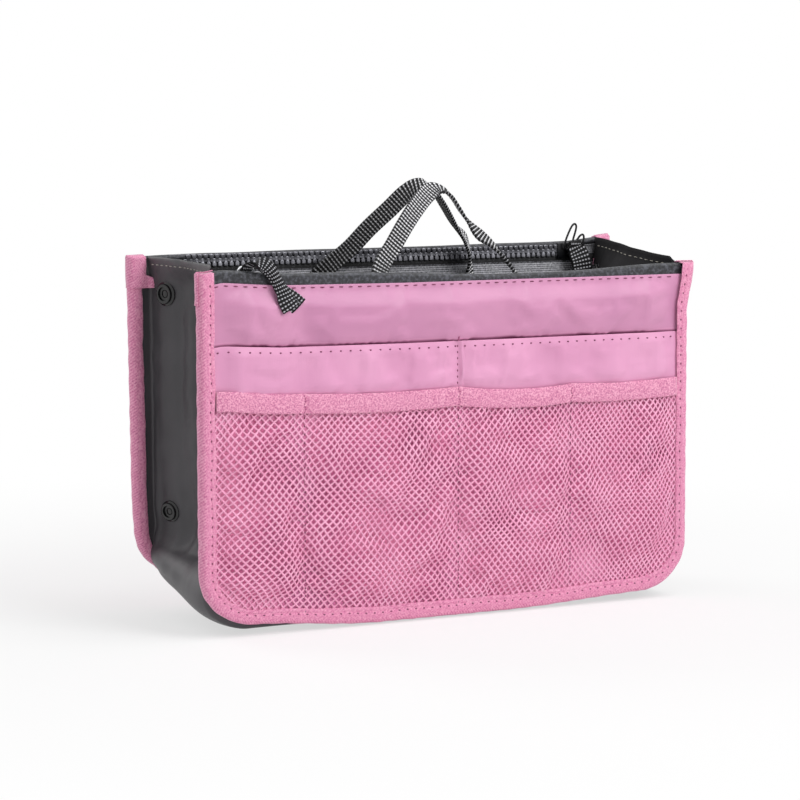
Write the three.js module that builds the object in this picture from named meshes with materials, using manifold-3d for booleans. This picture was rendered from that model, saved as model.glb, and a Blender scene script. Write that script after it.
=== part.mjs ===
// Purse organizer insert: two padded pocket panels joined by a folding boxing strip.
// Units are millimetres, +Z is up, the origin is the centre of the base on the floor.
// Each side is drawn in its own frame: x along the length, y up, z outward from the middle of the bag.
import * as THREE from "three";
import { mergeVertices } from "three/addons/utils/BufferGeometryUtils.js";
import ManifoldModule from "manifold-3d";

const wasm = await ManifoldModule();
wasm.setup();

// Whole insert
const LENGTH = 288;
const HEIGHT = 182;
const DEPTH = 88;
const CORNER_RADIUS = 30;
const CLEARANCE = 0.3;

// Cloth, foam and tape thicknesses
const POCKET_CLOTH = 0.4;
const PANEL_CLOTH = 0.5;
const LINING_CLOTH = 0.4;
const STRIP_CLOTH = 0.4;
const PADDING_FOAM = 1.6;
const NET_THICKNESS = 0.7;
const ELASTIC_THICKNESS = 0.9;
const BINDING_TAPE = 0.7;
const BINDING_WIDTH = 11;

// Pocket edges, measured down from the top of the panel
const COVER_DROP = 6;
const SLIP_DROP = 39;
const ELASTIC_DROP = 61;
const ELASTIC_HEIGHT = 10;
const HEM_FOLD = 1;

// Net of the mesh pocket
const NET_PITCH_ACROSS = 21;
const NET_PITCH_UP = 17;
const NET_STRAND = 2.6;

// Boxing strip: side gussets with an inward fold, and the base between them
const GUSSET_TOP_DROP = 2;
const FOLD_INSET = 22;
const FOLD_FADE_HEIGHT = 45;
const SHOULDER_INSET = 0.3;
const SHOULDER_RISE = 1.8;
const FLAT_BASE_HALF = 24;
const CORNER_STEPS = 6;

// Press snaps on the gussets
const SNAP_HEIGHTS = [164, 52];
const SNAP_FROM_FOLD = 26;
const SNAP_FLANGE_RADIUS = 6.2;
const SNAP_FLANGE_THICKNESS = 0.8;
const SNAP_POST_RADIUS = 1.7;
const SNAP_STUD_RADIUS = 3;
const SNAP_STUD_HEIGHT = 2.4;
const SNAP_RIM_WIDTH = 1.5;
const SNAP_RIM_HEIGHT = 1.2;
const SNAP_CAP_THICKNESS = 1.1;
const SNAP_CAP_BEVEL = 0.5;
const SNAP_SIDES = 12;

// Zip along the inner face of each side
const ZIP_DROP = 5.4;
const ZIP_TAPE = 0.5;
const ZIP_TAPE_BELOW = 11;
const TOOTH_PITCH = 3.2;
const TOOTH_WIDTH = 1.25;
const TOOTH_THICKNESS = 2;
const TOOTH_REACH = 0.9;
const TOOTH_SPINE = 1.1;
const CHAIN_HALF_WIDTH = 3;
const CHAIN_FROM_END = 28;

// Zip slider, its wire ring and its webbing tab
const SLIDER_LENGTH = 12;
const SLIDER_OVER_CHAIN = 6.5;
const SLIDER_PLATE = 0.8;
const SLIDER_LIP = 0.7;
const BRIDGE_WIDTH = 2.2;
const BRIDGE_LENGTH = 2.6;
const BAIL_SPAN = 4.4;
const BAIL_RISE = 3.9;
const BAIL_BAND = 0.7;
const BAIL_WIDTH = 1.8;
const RING_WIRE = 1.1;
const RING_CORNER = 1.6;
const RING_TALL = 12;
const RING_LEAN_FRONT = 19;
const TAB_WIDTH = 8;
const TAB_WEBBING = 0.8;
const TAB_LENGTH = 24;
const TAB_BEND = 4.5;
const TAB_SLANT_FRONT = 38;
const TAB_SLANT_REAR = -10;

// Webbing handle on each inner face
const HANDLE_WIDTH = 10;
const HANDLE_WEBBING = 1.6;
const HANDLE_SPAN = 80;
const HANDLE_APEX_HEIGHT = 219;
const HANDLE_APEX_FROM_MIDDLE = 9.5;
const HANDLE_STEPS = 13;
const HANDLE_TWIST_START = 0.1;
const HANDLE_TWIST_END = 0.8;

const PINK_NYLON = 0xdc92bd;
const PINK_TAPE = 0xe283b2;
const CHARCOAL_NYLON = 0x3d3b3f;
const HEM_NYLON = 0x44454d;
const BLACK_WEBBING = 0x38393d;
const BLACK_PLASTIC = 0x17171a;
const ZIP_PLASTIC = 0x2c2d31;
const NICKEL = 0xb4b5ba;
const WHITE_FOAM = 0xd9d8d4;

// Each layer's outer and inner face, counted inward from the outer face of the binding
const LAYERS = {
  net: ELASTIC_THICKNESS,
  slip: POCKET_CLOTH,
  cover: POCKET_CLOTH,
  panel: PANEL_CLOTH,
  padding: PADDING_FOAM,
  lining: LINING_CLOTH,
  strip: STRIP_CLOTH,
  bindingInside: BINDING_TAPE,
};
const layers = {};
let nextFace = DEPTH / 2 - BINDING_TAPE - CLEARANCE;
for (const [name, thickness] of Object.entries(LAYERS)) {
  layers[name] = { outer: nextFace, inner: nextFace - thickness };
  nextFace -= thickness + CLEARANCE;
}

const HALF_LENGTH = LENGTH / 2;
const CLOTH_INSET = BINDING_TAPE + CLEARANCE;
const ZIP_HEIGHT = HEIGHT - ZIP_DROP;
const TAPE_MIDDLE = layers.lining.inner + ZIP_TAPE / 2;
const LINING_TOP = ZIP_HEIGHT - CHAIN_HALF_WIDTH - ZIP_TAPE_BELOW;
const CHAIN_START = CHAIN_FROM_END - HALF_LENGTH;
const CHAIN_TEETH = Math.floor(-2 * CHAIN_START / TOOTH_PITCH);

function material(colour, roughness, metalness = 0) {
  return new THREE.MeshStandardMaterial({ color: colour, roughness, metalness });
}

function piece(name, geometry, finish) {
  const mesh = new THREE.Mesh(geometry, finish.clone());
  mesh.name = name;
  return mesh;
}

function smooth(value) {
  return THREE.MathUtils.smoothstep(value, 0, 1);
}

// A closed body from points and triangles, turned inside out if its volume comes out negative
function closedBody(points, triangles) {
  let volume = 0;
  for (const [a, b, c] of triangles) {
    volume += points[a].dot(points[b].clone().cross(points[c]));
  }
  const order = volume < 0 ? triangles.map(([a, b, c]) => [a, c, b]) : triangles;
  const geometry = new THREE.BufferGeometry();
  const positions = points.flatMap((point) => [point.x, point.y, point.z]);
  geometry.setAttribute("position", new THREE.Float32BufferAttribute(positions, 3));
  geometry.setIndex(order.flat());
  geometry.computeVertexNormals();
  return geometry;
}

// A body through matching sections, each a closed polygon of points; a ring of sections has no caps
function loft(sections, isRing = false) {
  const sides = sections[0].length;
  const points = sections.flat();
  const triangles = [];
  const spans = isRing ? sections.length : sections.length - 1;
  for (let i = 0; i < spans; i += 1) {
    const here = i * sides;
    const next = ((i + 1) % sections.length) * sides;
    for (let j = 0; j < sides; j += 1) {
      const k = (j + 1) % sides;
      triangles.push([here + j, here + k, next + k], [here + j, next + k, next + j]);
    }
  }
  return { points, triangles, sides };
}

// Close both ends of a loft whose sections share one flat outline
function cappedLoft(sections, outline) {
  const { points, triangles, sides } = loft(sections);
  const last = (sections.length - 1) * sides;
  for (const [a, b, c] of THREE.ShapeUtils.triangulateShape(outline, [])) {
    triangles.push([a, c, b], [last + a, last + b, last + c]);
  }
  return orientedLoft(points, triangles);
}

// Caps may wind against the sides: flip them so that each edge is used once each way
function orientedLoft(points, triangles) {
  const used = new Set();
  const kept = [];
  for (const [a, b, c] of triangles) {
    const clash = [[a, b], [b, c], [c, a]].some(([p, q]) => used.has(`${p},${q}`));
    const turned = clash ? [a, c, b] : [a, b, c];
    kept.push(turned);
    turned.forEach((p, i) => used.add(`${p},${turned[(i + 1) % 3]}`));
  }
  return closedBody(points, kept);
}

// A cloth sheet of even thickness over a grid of middle points
function sheet(grid, thickness) {
  const rows = grid.length;
  const columns = grid[0].length;
  const within = (i, count) => THREE.MathUtils.clamp(i, 0, count - 1);
  const at = (r, c) => grid[within(r, rows)][within(c, columns)];
  const front = [];
  const back = [];
  for (let r = 0; r < rows; r += 1) {
    for (let c = 0; c < columns; c += 1) {
      const along = at(r + 1, c).clone().sub(at(r - 1, c));
      const across = at(r, c + 1).clone().sub(at(r, c - 1));
      const offset = along.cross(across).setLength(thickness / 2);
      front.push(at(r, c).clone().add(offset));
      back.push(at(r, c).clone().sub(offset));
    }
  }
  const behind = front.length;
  const triangles = [];
  for (let r = 0; r + 1 < rows; r += 1) {
    for (let c = 0; c + 1 < columns; c += 1) {
      const a = r * columns + c;
      const d = a + columns;
      triangles.push([a, d, d + 1], [a, d + 1, a + 1]);
      triangles.push([behind + a, behind + d + 1, behind + d], [behind + a, behind + a + 1, behind + d + 1]);
    }
  }
  const rim = [];
  for (let c = 0; c < columns; c += 1) rim.push(c);
  for (let r = 1; r < rows; r += 1) rim.push(r * columns + columns - 1);
  for (let c = columns - 2; c >= 0; c -= 1) rim.push((rows - 1) * columns + c);
  for (let r = rows - 2; r > 0; r -= 1) rim.push(r * columns);
  rim.forEach((a, i) => {
    const b = rim[(i + 1) % rim.length];
    triangles.push([a, b, behind + b], [a, behind + b, behind + a]);
  });
  return closedBody(front.concat(back), triangles);
}

// A flat strap along a route of points, each with the direction that its width lies in
function strap(route, width, thickness) {
  const sections = route.map(({ point, across }, i) => {
    const before = route[Math.max(i - 1, 0)].point;
    const after = route[Math.min(i + 1, route.length - 1)].point;
    const along = after.clone().sub(before).normalize();
    const wide = across.clone().addScaledVector(along, -across.dot(along)).setLength(width / 2);
    const thick = wide.clone().cross(along).setLength(thickness / 2);
    return [[1, 1], [-1, 1], [-1, -1], [1, -1]].map(([w, t]) =>
      point.clone().addScaledVector(wide, w).addScaledVector(thick, t));
  });
  const outline = [[1, 1], [-1, 1], [-1, -1], [1, -1]].map(([x, y]) => new THREE.Vector2(x, y));
  return cappedLoft(sections, outline);
}

function toManifold(geometry) {
  const plain = geometry.clone();
  plain.deleteAttribute("normal");
  plain.deleteAttribute("uv");
  const merged = mergeVertices(plain, 1e-4);
  return new wasm.Manifold(new wasm.Mesh({
    numProp: 3,
    vertProperties: new Float32Array(merged.attributes.position.array),
    triVerts: new Uint32Array(merged.index.array),
  }));
}

function fromManifold(body) {
  const { numProp, vertProperties, triVerts } = body.getMesh();
  const positions = [];
  for (let i = 0; i < vertProperties.length; i += numProp) {
    positions.push(vertProperties[i], vertProperties[i + 1], vertProperties[i + 2]);
  }
  const geometry = new THREE.BufferGeometry();
  geometry.setAttribute("position", new THREE.Float32BufferAttribute(positions, 3));
  geometry.setIndex(Array.from(triVerts));
  geometry.computeVertexNormals();
  return geometry;
}

function joined(geometries) {
  return fromManifold(geometries.map(toManifold).reduce((whole, part) => whole.add(part)));
}

function cut(geometry, tools) {
  const whole = toManifold(geometry);
  return fromManifold(tools.map(toManifold).reduce((rest, tool) => rest.subtract(tool), whole));
}

// The side's outline, drawn in from the binding's edge: straight sides, round lower corners, open top
function sideOutline(inset, top) {
  const right = HALF_LENGTH - inset;
  const radius = CORNER_RADIUS - inset;
  const shape = new THREE.Shape();
  shape.moveTo(right, top);
  shape.lineTo(-right, top);
  shape.lineTo(-right, CORNER_RADIUS);
  shape.absarc(-right + radius, CORNER_RADIUS, radius, Math.PI, 1.5 * Math.PI, false);
  shape.lineTo(right - radius, inset);
  shape.absarc(right - radius, CORNER_RADIUS, radius, 1.5 * Math.PI, 2 * Math.PI, false);
  return shape;
}

function extrudedBetween(shape, inner, outer) {
  const geometry = new THREE.ExtrudeGeometry(shape, {
    depth: outer - inner,
    bevelEnabled: false,
    curveSegments: CORNER_STEPS,
  });
  return geometry.translate(0, 0, inner);
}

function box(left, right, low, high, inner, outer) {
  const geometry = new THREE.BoxGeometry(right - left, high - low, outer - inner);
  return geometry.translate((left + right) / 2, (low + high) / 2, (inner + outer) / 2);
}

// Base panel with its top edge folded over towards the zip tape
function basePanel() {
  const right = HALF_LENGTH - CLOTH_INSET;
  const cloth = extrudedBetween(sideOutline(CLOTH_INSET, HEIGHT), layers.panel.inner, layers.panel.outer);
  const foldInner = layers.lining.inner + ZIP_TAPE + CLEARANCE;
  const fold = box(-right, right, HEIGHT - HEM_FOLD, HEIGHT, foldInner, layers.panel.outer);
  return joined([cloth, fold]);
}

function pocketCloth(drop, layer) {
  return extrudedBetween(sideOutline(CLOTH_INSET, HEIGHT - drop), layer.inner, layer.outer);
}

function padding() {
  const outline = sideOutline(BINDING_WIDTH + CLEARANCE, LINING_TOP);
  return extrudedBetween(outline, layers.padding.inner, layers.padding.outer);
}

function lining() {
  return extrudedBetween(sideOutline(CLOTH_INSET, LINING_TOP), layers.lining.inner, layers.lining.outer);
}

// True where a net gap of this size stays inside the binding, round corners included
function gapFits(x, y, reach, low, high) {
  const side = HALF_LENGTH - BINDING_WIDTH;
  if (Math.abs(x) + reach > side || y - reach < low || y + reach > high) return false;
  const fromCornerX = Math.abs(x) - (HALF_LENGTH - CORNER_RADIUS);
  const fromCornerY = CORNER_RADIUS - y;
  if (fromCornerX < 0 || fromCornerY < 0) return true;
  return Math.hypot(fromCornerX, fromCornerY) + reach < CORNER_RADIUS - BINDING_WIDTH;
}

// Mesh pocket: a flat net of diamond gaps under the elastic band
function meshPocket() {
  const top = HEIGHT - ELASTIC_DROP - ELASTIC_HEIGHT - CLEARANCE;
  const outline = sideOutline(CLOTH_INSET, top);
  const halfAcross = NET_PITCH_ACROSS / 2 - NET_STRAND;
  const halfUp = NET_PITCH_UP / 2 - NET_STRAND;
  const rows = Math.floor(2 * (top - BINDING_WIDTH) / NET_PITCH_UP);
  const columns = Math.ceil(LENGTH / NET_PITCH_ACROSS);
  for (let row = 0; row <= rows; row += 1) {
    for (let column = -columns; column <= columns; column += 1) {
      const x = (column / 2 + (row % 2) / 4) * 2 * NET_PITCH_ACROSS;
      const y = BINDING_WIDTH + (row + 1) * NET_PITCH_UP / 2;
      const reach = Math.max(halfAcross, halfUp);
      if (!gapFits(x, y, reach, BINDING_WIDTH, top)) continue;
      const gap = new THREE.Path();
      gap.moveTo(x - halfAcross, y);
      gap.lineTo(x, y + halfUp);
      gap.lineTo(x + halfAcross, y);
      gap.lineTo(x, y - halfUp);
      gap.closePath();
      outline.holes.push(gap);
    }
  }
  return extrudedBetween(outline, layers.net.inner, layers.net.inner + NET_THICKNESS);
}

function meshElastic() {
  const right = HALF_LENGTH - CLOTH_INSET;
  const top = HEIGHT - ELASTIC_DROP;
  return box(-right, right, top - ELASTIC_HEIGHT, top, layers.net.inner, layers.net.outer);
}

// Stations round the lower left corner: a point on the outer edge and the direction into the panel
function cornerStations() {
  const stations = [];
  for (let i = 0; i <= CORNER_STEPS; i += 1) {
    const angle = (i / CORNER_STEPS) * Math.PI / 2;
    const inward = new THREE.Vector2(Math.cos(angle), Math.sin(angle));
    const centre = new THREE.Vector2(-HALF_LENGTH + CORNER_RADIUS, CORNER_RADIUS);
    const edge = centre.clone().addScaledVector(inward, -CORNER_RADIUS);
    stations.push({ edge, inward, turn: i / CORNER_STEPS });
  }
  return stations;
}

function leftStation(height) {
  return { edge: new THREE.Vector2(-HALF_LENGTH, height), inward: new THREE.Vector2(1, 0), turn: 0 };
}

function mirrored(station) {
  return {
    edge: new THREE.Vector2(-station.edge.x, station.edge.y),
    inward: new THREE.Vector2(-station.inward.x, station.inward.y),
    turn: station.turn,
  };
}

function stationPoint(station, inset, outward) {
  const place = station.edge.clone().addScaledVector(station.inward, inset);
  return new THREE.Vector3(place.x, place.y, outward);
}

// Edge binding: a tape folded over all layers, down one side, along the bottom and up the other
function edgeBinding() {
  const outside = DEPTH / 2;
  const inside = layers.bindingInside.inner;
  const profile = [
    [BINDING_WIDTH, outside],
    [0, outside],
    [0, inside],
    [BINDING_WIDTH, inside],
    [BINDING_WIDTH, inside + BINDING_TAPE],
    [BINDING_TAPE, inside + BINDING_TAPE],
    [BINDING_TAPE, outside - BINDING_TAPE],
    [BINDING_WIDTH, outside - BINDING_TAPE],
  ];
  const leftHalf = [leftStation(HEIGHT), ...cornerStations()];
  const stations = leftHalf.concat(leftHalf.map(mirrored).reverse());
  const sections = stations.map((station) =>
    profile.map(([inset, outward]) => stationPoint(station, inset, outward)));
  return cappedLoft(sections, profile.map(([x, y]) => new THREE.Vector2(x, y)));
}

// Where the folded gusset web starts and ends, as inset from the outer edge and distance from the middle
const STRIP_MIDDLE = (layers.strip.inner + layers.strip.outer) / 2;
const BEND_INSET = BINDING_WIDTH + CLEARANCE;
const SHOULDER = { inset: BEND_INSET + SHOULDER_INSET, outward: STRIP_MIDDLE - SHOULDER_RISE };
const FOLD = { inset: FOLD_INSET, outward: CLEARANCE / 2 };

function webInset(outward) {
  const share = (SHOULDER.outward - outward) / (SHOULDER.outward - FOLD.outward);
  return THREE.MathUtils.lerp(SHOULDER.inset, FOLD.inset, share);
}

// One section of the boxing strip: a flange inside the binding, a shoulder, then the web to the middle
function stripSection(station, foldShare) {
  const floor = STRIP_CLOTH / 2;
  const kneeInset = THREE.MathUtils.lerp(floor, webInset(FLAT_BASE_HALF), foldShare);
  const middleInset = THREE.MathUtils.lerp(floor, FOLD.inset, foldShare);
  return [
    stationPoint(station, CLOTH_INSET, STRIP_MIDDLE),
    stationPoint(station, BEND_INSET, STRIP_MIDDLE),
    stationPoint(station, SHOULDER.inset, SHOULDER.outward),
    stationPoint(station, kneeInset, FLAT_BASE_HALF),
    stationPoint(station, middleInset, FOLD.outward),
  ];
}

// Direction from the bag's middle fold to the outside of a gusset web
function webNormal(hand) {
  const run = new THREE.Vector2(FOLD.inset - SHOULDER.inset, FOLD.outward - SHOULDER.outward).normalize();
  return new THREE.Vector3(hand * -run.y, 0, -run.x);
}

function snapPlace(hand, height) {
  const x = hand * (HALF_LENGTH - webInset(SNAP_FROM_FOLD));
  return new THREE.Vector3(x, height, SNAP_FROM_FOLD);
}

// Half of a side gusset, with holes for the posts of its snaps
function gussetHalf(hand) {
  const side = [leftStation(HEIGHT - GUSSET_TOP_DROP), leftStation(FOLD_FADE_HEIGHT), ...cornerStations()];
  const stations = hand < 0 ? side : side.map(mirrored);
  const grid = stations.map((station) => stripSection(station, 1 - smooth(station.turn)));
  const holes = SNAP_HEIGHTS.map((height) => {
    const reach = 4 * (STRIP_CLOTH + CLEARANCE);
    const radius = SNAP_POST_RADIUS + CLEARANCE;
    return placedOnWeb(new THREE.CylinderGeometry(radius, radius, reach, SNAP_SIDES), hand, height);
  });
  return cut(sheet(grid, STRIP_CLOTH), holes);
}

function placedOnWeb(geometry, hand, height) {
  const turn = new THREE.Quaternion().setFromUnitVectors(new THREE.Vector3(0, 1, 0), webNormal(hand));
  const place = snapPlace(hand, height);
  return geometry.applyQuaternion(turn).translate(place.x, place.y, place.z);
}

// Half of the base, flat on the floor between the two rounded corners
function baseHalf() {
  const end = HALF_LENGTH - CORNER_RADIUS - CLEARANCE;
  const inward = new THREE.Vector2(0, 1);
  const stations = [-end, 0, end].map((x) => ({ edge: new THREE.Vector2(x, 0), inward }));
  return sheet(stations.map((station) => stripSection(station, 0)), STRIP_CLOTH);
}

function lathe(profile) {
  const points = profile.map(([radius, height]) => new THREE.Vector2(radius, height));
  return new THREE.LatheGeometry(points.concat(points[0].clone()), SNAP_SIDES);
}

// Snap socket: a flanged cup whose rim takes the stud, bored for the cap's post
function snapSocket() {
  const seat = STRIP_CLOTH / 2 + CLEARANCE;
  const bore = SNAP_POST_RADIUS + CLEARANCE;
  const cup = SNAP_STUD_RADIUS + CLEARANCE;
  const floor = seat + SNAP_FLANGE_THICKNESS;
  return lathe([
    [bore, seat],
    [SNAP_FLANGE_RADIUS, seat],
    [SNAP_FLANGE_RADIUS, seat + SNAP_FLANGE_THICKNESS / 2],
    [cup + SNAP_RIM_WIDTH, floor],
    [cup + SNAP_RIM_WIDTH, floor + SNAP_RIM_HEIGHT],
    [cup, floor + SNAP_RIM_HEIGHT],
    [cup, floor],
    [bore, floor],
  ]);
}

// Snap stud: a flange with a waisted knob, bored for the cap's post
function snapStud() {
  const seat = STRIP_CLOTH / 2 + CLEARANCE;
  const bore = SNAP_POST_RADIUS + CLEARANCE;
  const waist = (bore + SNAP_STUD_RADIUS) / 2;
  const floor = seat + SNAP_FLANGE_THICKNESS;
  return lathe([
    [bore, seat],
    [SNAP_FLANGE_RADIUS, seat],
    [SNAP_FLANGE_RADIUS, seat + SNAP_FLANGE_THICKNESS / 2],
    [SNAP_STUD_RADIUS, floor],
    [waist, floor + SNAP_STUD_HEIGHT / 3],
    [SNAP_STUD_RADIUS, floor + 2 * SNAP_STUD_HEIGHT / 3],
    [waist, floor + SNAP_STUD_HEIGHT],
    [bore, floor + SNAP_STUD_HEIGHT],
  ]);
}

// Snap cap on the inside of the gusset, with the post that holds the other half
function snapCap() {
  const seat = -(STRIP_CLOTH / 2 + CLEARANCE);
  const back = seat - SNAP_CAP_THICKNESS;
  const postEnd = STRIP_CLOTH / 2 + CLEARANCE + SNAP_FLANGE_THICKNESS;
  return lathe([
    [0, back],
    [SNAP_FLANGE_RADIUS - SNAP_CAP_BEVEL, back],
    [SNAP_FLANGE_RADIUS, back + SNAP_CAP_BEVEL],
    [SNAP_FLANGE_RADIUS, seat],
    [SNAP_POST_RADIUS, seat],
    [SNAP_POST_RADIUS, postEnd],
    [0, postEnd],
  ]);
}

function zipTapeUpper() {
  const right = HALF_LENGTH - CLOTH_INSET;
  const low = ZIP_HEIGHT + CHAIN_HALF_WIDTH + CLEARANCE;
  return box(-right, right, low, HEIGHT, layers.lining.inner, layers.lining.inner + ZIP_TAPE);
}

function zipTapeLower() {
  const right = HALF_LENGTH - CLOTH_INSET;
  const low = LINING_TOP + CLEARANCE;
  const high = ZIP_HEIGHT - CHAIN_HALF_WIDTH - CLEARANCE;
  return box(-right, right, low, high, layers.lining.inner, layers.lining.inner + ZIP_TAPE);
}

// One row of zip teeth: a spine on the tape's edge and a comb of teeth reaching past the middle
function zipTeeth(hand) {
  const count = CHAIN_TEETH;
  const spineOut = CHAIN_HALF_WIDTH;
  const spineIn = CHAIN_HALF_WIDTH - TOOTH_SPINE;
  const offset = hand < 0 ? TOOTH_PITCH / 2 : 0;
  const first = CHAIN_START + offset;
  const last = first + (count - 1) * TOOTH_PITCH + TOOTH_WIDTH;
  const level = (distance) => ZIP_HEIGHT + hand * distance;
  const shape = new THREE.Shape();
  shape.moveTo(first, level(spineOut));
  for (let i = 0; i < count; i += 1) {
    const x = first + i * TOOTH_PITCH;
    if (i > 0) shape.lineTo(x, level(spineIn));
    shape.lineTo(x, level(-TOOTH_REACH));
    shape.lineTo(x + TOOTH_WIDTH, level(-TOOTH_REACH));
    if (i + 1 < count) shape.lineTo(x + TOOTH_WIDTH, level(spineIn));
  }
  shape.lineTo(last, level(spineOut));
  shape.closePath();
  return extrudedBetween(shape, TAPE_MIDDLE - TOOTH_THICKNESS / 2, TAPE_MIDDLE + TOOTH_THICKNESS / 2);
}

// Slider faces, from the plate on the bag's inside to the plate behind the chain
const SLIDER = {
  tail: CHAIN_START + SLIDER_OVER_CHAIN,
  mouth: CHAIN_START + SLIDER_OVER_CHAIN - SLIDER_LENGTH,
  half: CHAIN_HALF_WIDTH + CLEARANCE + SLIDER_LIP,
  frontIn: TAPE_MIDDLE - TOOTH_THICKNESS / 2 - CLEARANCE,
  backIn: TAPE_MIDDLE + TOOTH_THICKNESS / 2 + CLEARANCE,
};
const BAIL_CENTRE_X = (SLIDER.tail + SLIDER.mouth) / 2;
const BAIL_OUTWARD = SLIDER.frontIn - SLIDER_PLATE - BAIL_RISE;
const BAR_OUTWARD = BAIL_OUTWARD + BAIL_BAND + CLEARANCE + RING_WIRE / 2;

function sliderPlate(inner, outer) {
  const shape = new THREE.Shape();
  const nose = SLIDER.mouth + SLIDER.half / 2;
  const low = ZIP_HEIGHT - SLIDER.half;
  const high = ZIP_HEIGHT + SLIDER.half;
  shape.moveTo(SLIDER.tail, low);
  shape.lineTo(SLIDER.tail, high);
  shape.lineTo(nose, high);
  shape.quadraticCurveTo(SLIDER.mouth, high, SLIDER.mouth, ZIP_HEIGHT);
  shape.quadraticCurveTo(SLIDER.mouth, low, nose, low);
  shape.closePath();
  return extrudedBetween(shape, inner, outer);
}

// Zip slider: two plates joined by the bridge at its mouth, lips along both edges and a bail for the ring
function zipSlider() {
  const bodies = [
    sliderPlate(SLIDER.frontIn - SLIDER_PLATE, SLIDER.frontIn),
    sliderPlate(SLIDER.backIn, SLIDER.backIn + SLIDER_PLATE),
  ];
  const sunk = SLIDER_PLATE / 2;
  const bridgeLeft = SLIDER.mouth + sunk;
  bodies.push(box(bridgeLeft, bridgeLeft + BRIDGE_LENGTH, ZIP_HEIGHT - BRIDGE_WIDTH / 2,
    ZIP_HEIGHT + BRIDGE_WIDTH / 2, SLIDER.frontIn - sunk, SLIDER.backIn + sunk));
  const tapeInner = layers.lining.inner;
  const lipLeft = SLIDER.mouth + SLIDER.half / 2;
  for (const hand of [-1, 1]) {
    const edges = [hand * (SLIDER.half - SLIDER_LIP), hand * SLIDER.half].sort((a, b) => a - b);
    const low = ZIP_HEIGHT + edges[0];
    const high = ZIP_HEIGHT + edges[1];
    bodies.push(box(lipLeft, SLIDER.tail, low, high, SLIDER.frontIn - sunk, tapeInner - CLEARANCE));
    bodies.push(box(lipLeft, SLIDER.tail, low, high, tapeInner + ZIP_TAPE + CLEARANCE, SLIDER.backIn + sunk));
  }
  bodies.push(bail());
  return joined(bodies);
}

// Bail: a small arch standing on the slider, open along the slider's travel
function bail() {
  const arch = new THREE.Shape();
  const half = BAIL_SPAN / 2;
  const innerHalf = half - BAIL_BAND;
  const foot = SLIDER_PLATE / 2;
  const rise = BAIL_RISE - half;
  arch.moveTo(half, -foot);
  arch.lineTo(half, rise);
  arch.absarc(0, rise, half, 0, Math.PI, false);
  arch.lineTo(-half, -foot);
  arch.lineTo(-innerHalf, -foot);
  arch.lineTo(-innerHalf, rise);
  arch.absarc(0, rise, innerHalf, Math.PI, 0, true);
  arch.lineTo(innerHalf, -foot);
  arch.closePath();
  const settings = { depth: BAIL_WIDTH, bevelEnabled: false, curveSegments: 8 };
  const geometry = new THREE.ExtrudeGeometry(arch, settings);
  const axes = new THREE.Matrix4().makeBasis(
    new THREE.Vector3(0, 1, 0), new THREE.Vector3(0, 0, -1), new THREE.Vector3(-1, 0, 0));
  axes.setPosition(BAIL_CENTRE_X + BAIL_WIDTH / 2, ZIP_HEIGHT, SLIDER.frontIn - SLIDER_PLATE);
  return geometry.applyMatrix4(axes);
}

// Frame of the pull: its bar lies in the bail, and the ring leans outward by this many degrees
function pullFrame(leanDegrees) {
  const lean = THREE.MathUtils.degToRad(leanDegrees);
  return {
    bar: new THREE.Vector3(BAIL_CENTRE_X, ZIP_HEIGHT, BAR_OUTWARD),
    up: new THREE.Vector3(0, Math.cos(lean), Math.sin(lean)),
  };
}

// Middle line of the ring, flat: two straight bars as wide as the tab, joined by round corners
function ringLine() {
  const half = TAB_WIDTH / 2 + CLEARANCE;
  const tall = RING_TALL - RING_WIRE;
  const corners = [
    [half, RING_CORNER, -90],
    [half, tall - RING_CORNER, 0],
    [-half, tall - RING_CORNER, 90],
    [-half, RING_CORNER, 180],
  ];
  const cornerSteps = 3;
  const line = [];
  for (const [x, y, start] of corners) {
    for (let i = 0; i <= cornerSteps; i += 1) {
      const angle = THREE.MathUtils.degToRad(start + 90 * i / cornerSteps);
      const facing = new THREE.Vector2(Math.cos(angle), Math.sin(angle));
      line.push({ place: new THREE.Vector2(x, y).addScaledVector(facing, RING_CORNER), facing });
    }
  }
  return line;
}

// Wire ring through the bail
function pullRing(leanDegrees) {
  const { bar, up } = pullFrame(leanDegrees);
  const across = new THREE.Vector3(1, 0, 0);
  const normal = across.clone().cross(up);
  const sides = 6;
  const sections = ringLine().map(({ place, facing }) => {
    const centre = bar.clone().addScaledVector(across, place.x).addScaledVector(up, place.y);
    const outwards = across.clone().multiplyScalar(facing.x).addScaledVector(up, facing.y);
    return Array.from({ length: sides }, (_, j) => {
      const round = (j / sides) * 2 * Math.PI;
      return centre.clone().addScaledVector(outwards, Math.cos(round) * RING_WIRE / 2)
        .addScaledVector(normal, Math.sin(round) * RING_WIRE / 2);
    });
  });
  const { points, triangles } = loft(sections, true);
  return closedBody(points, triangles);
}

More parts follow.
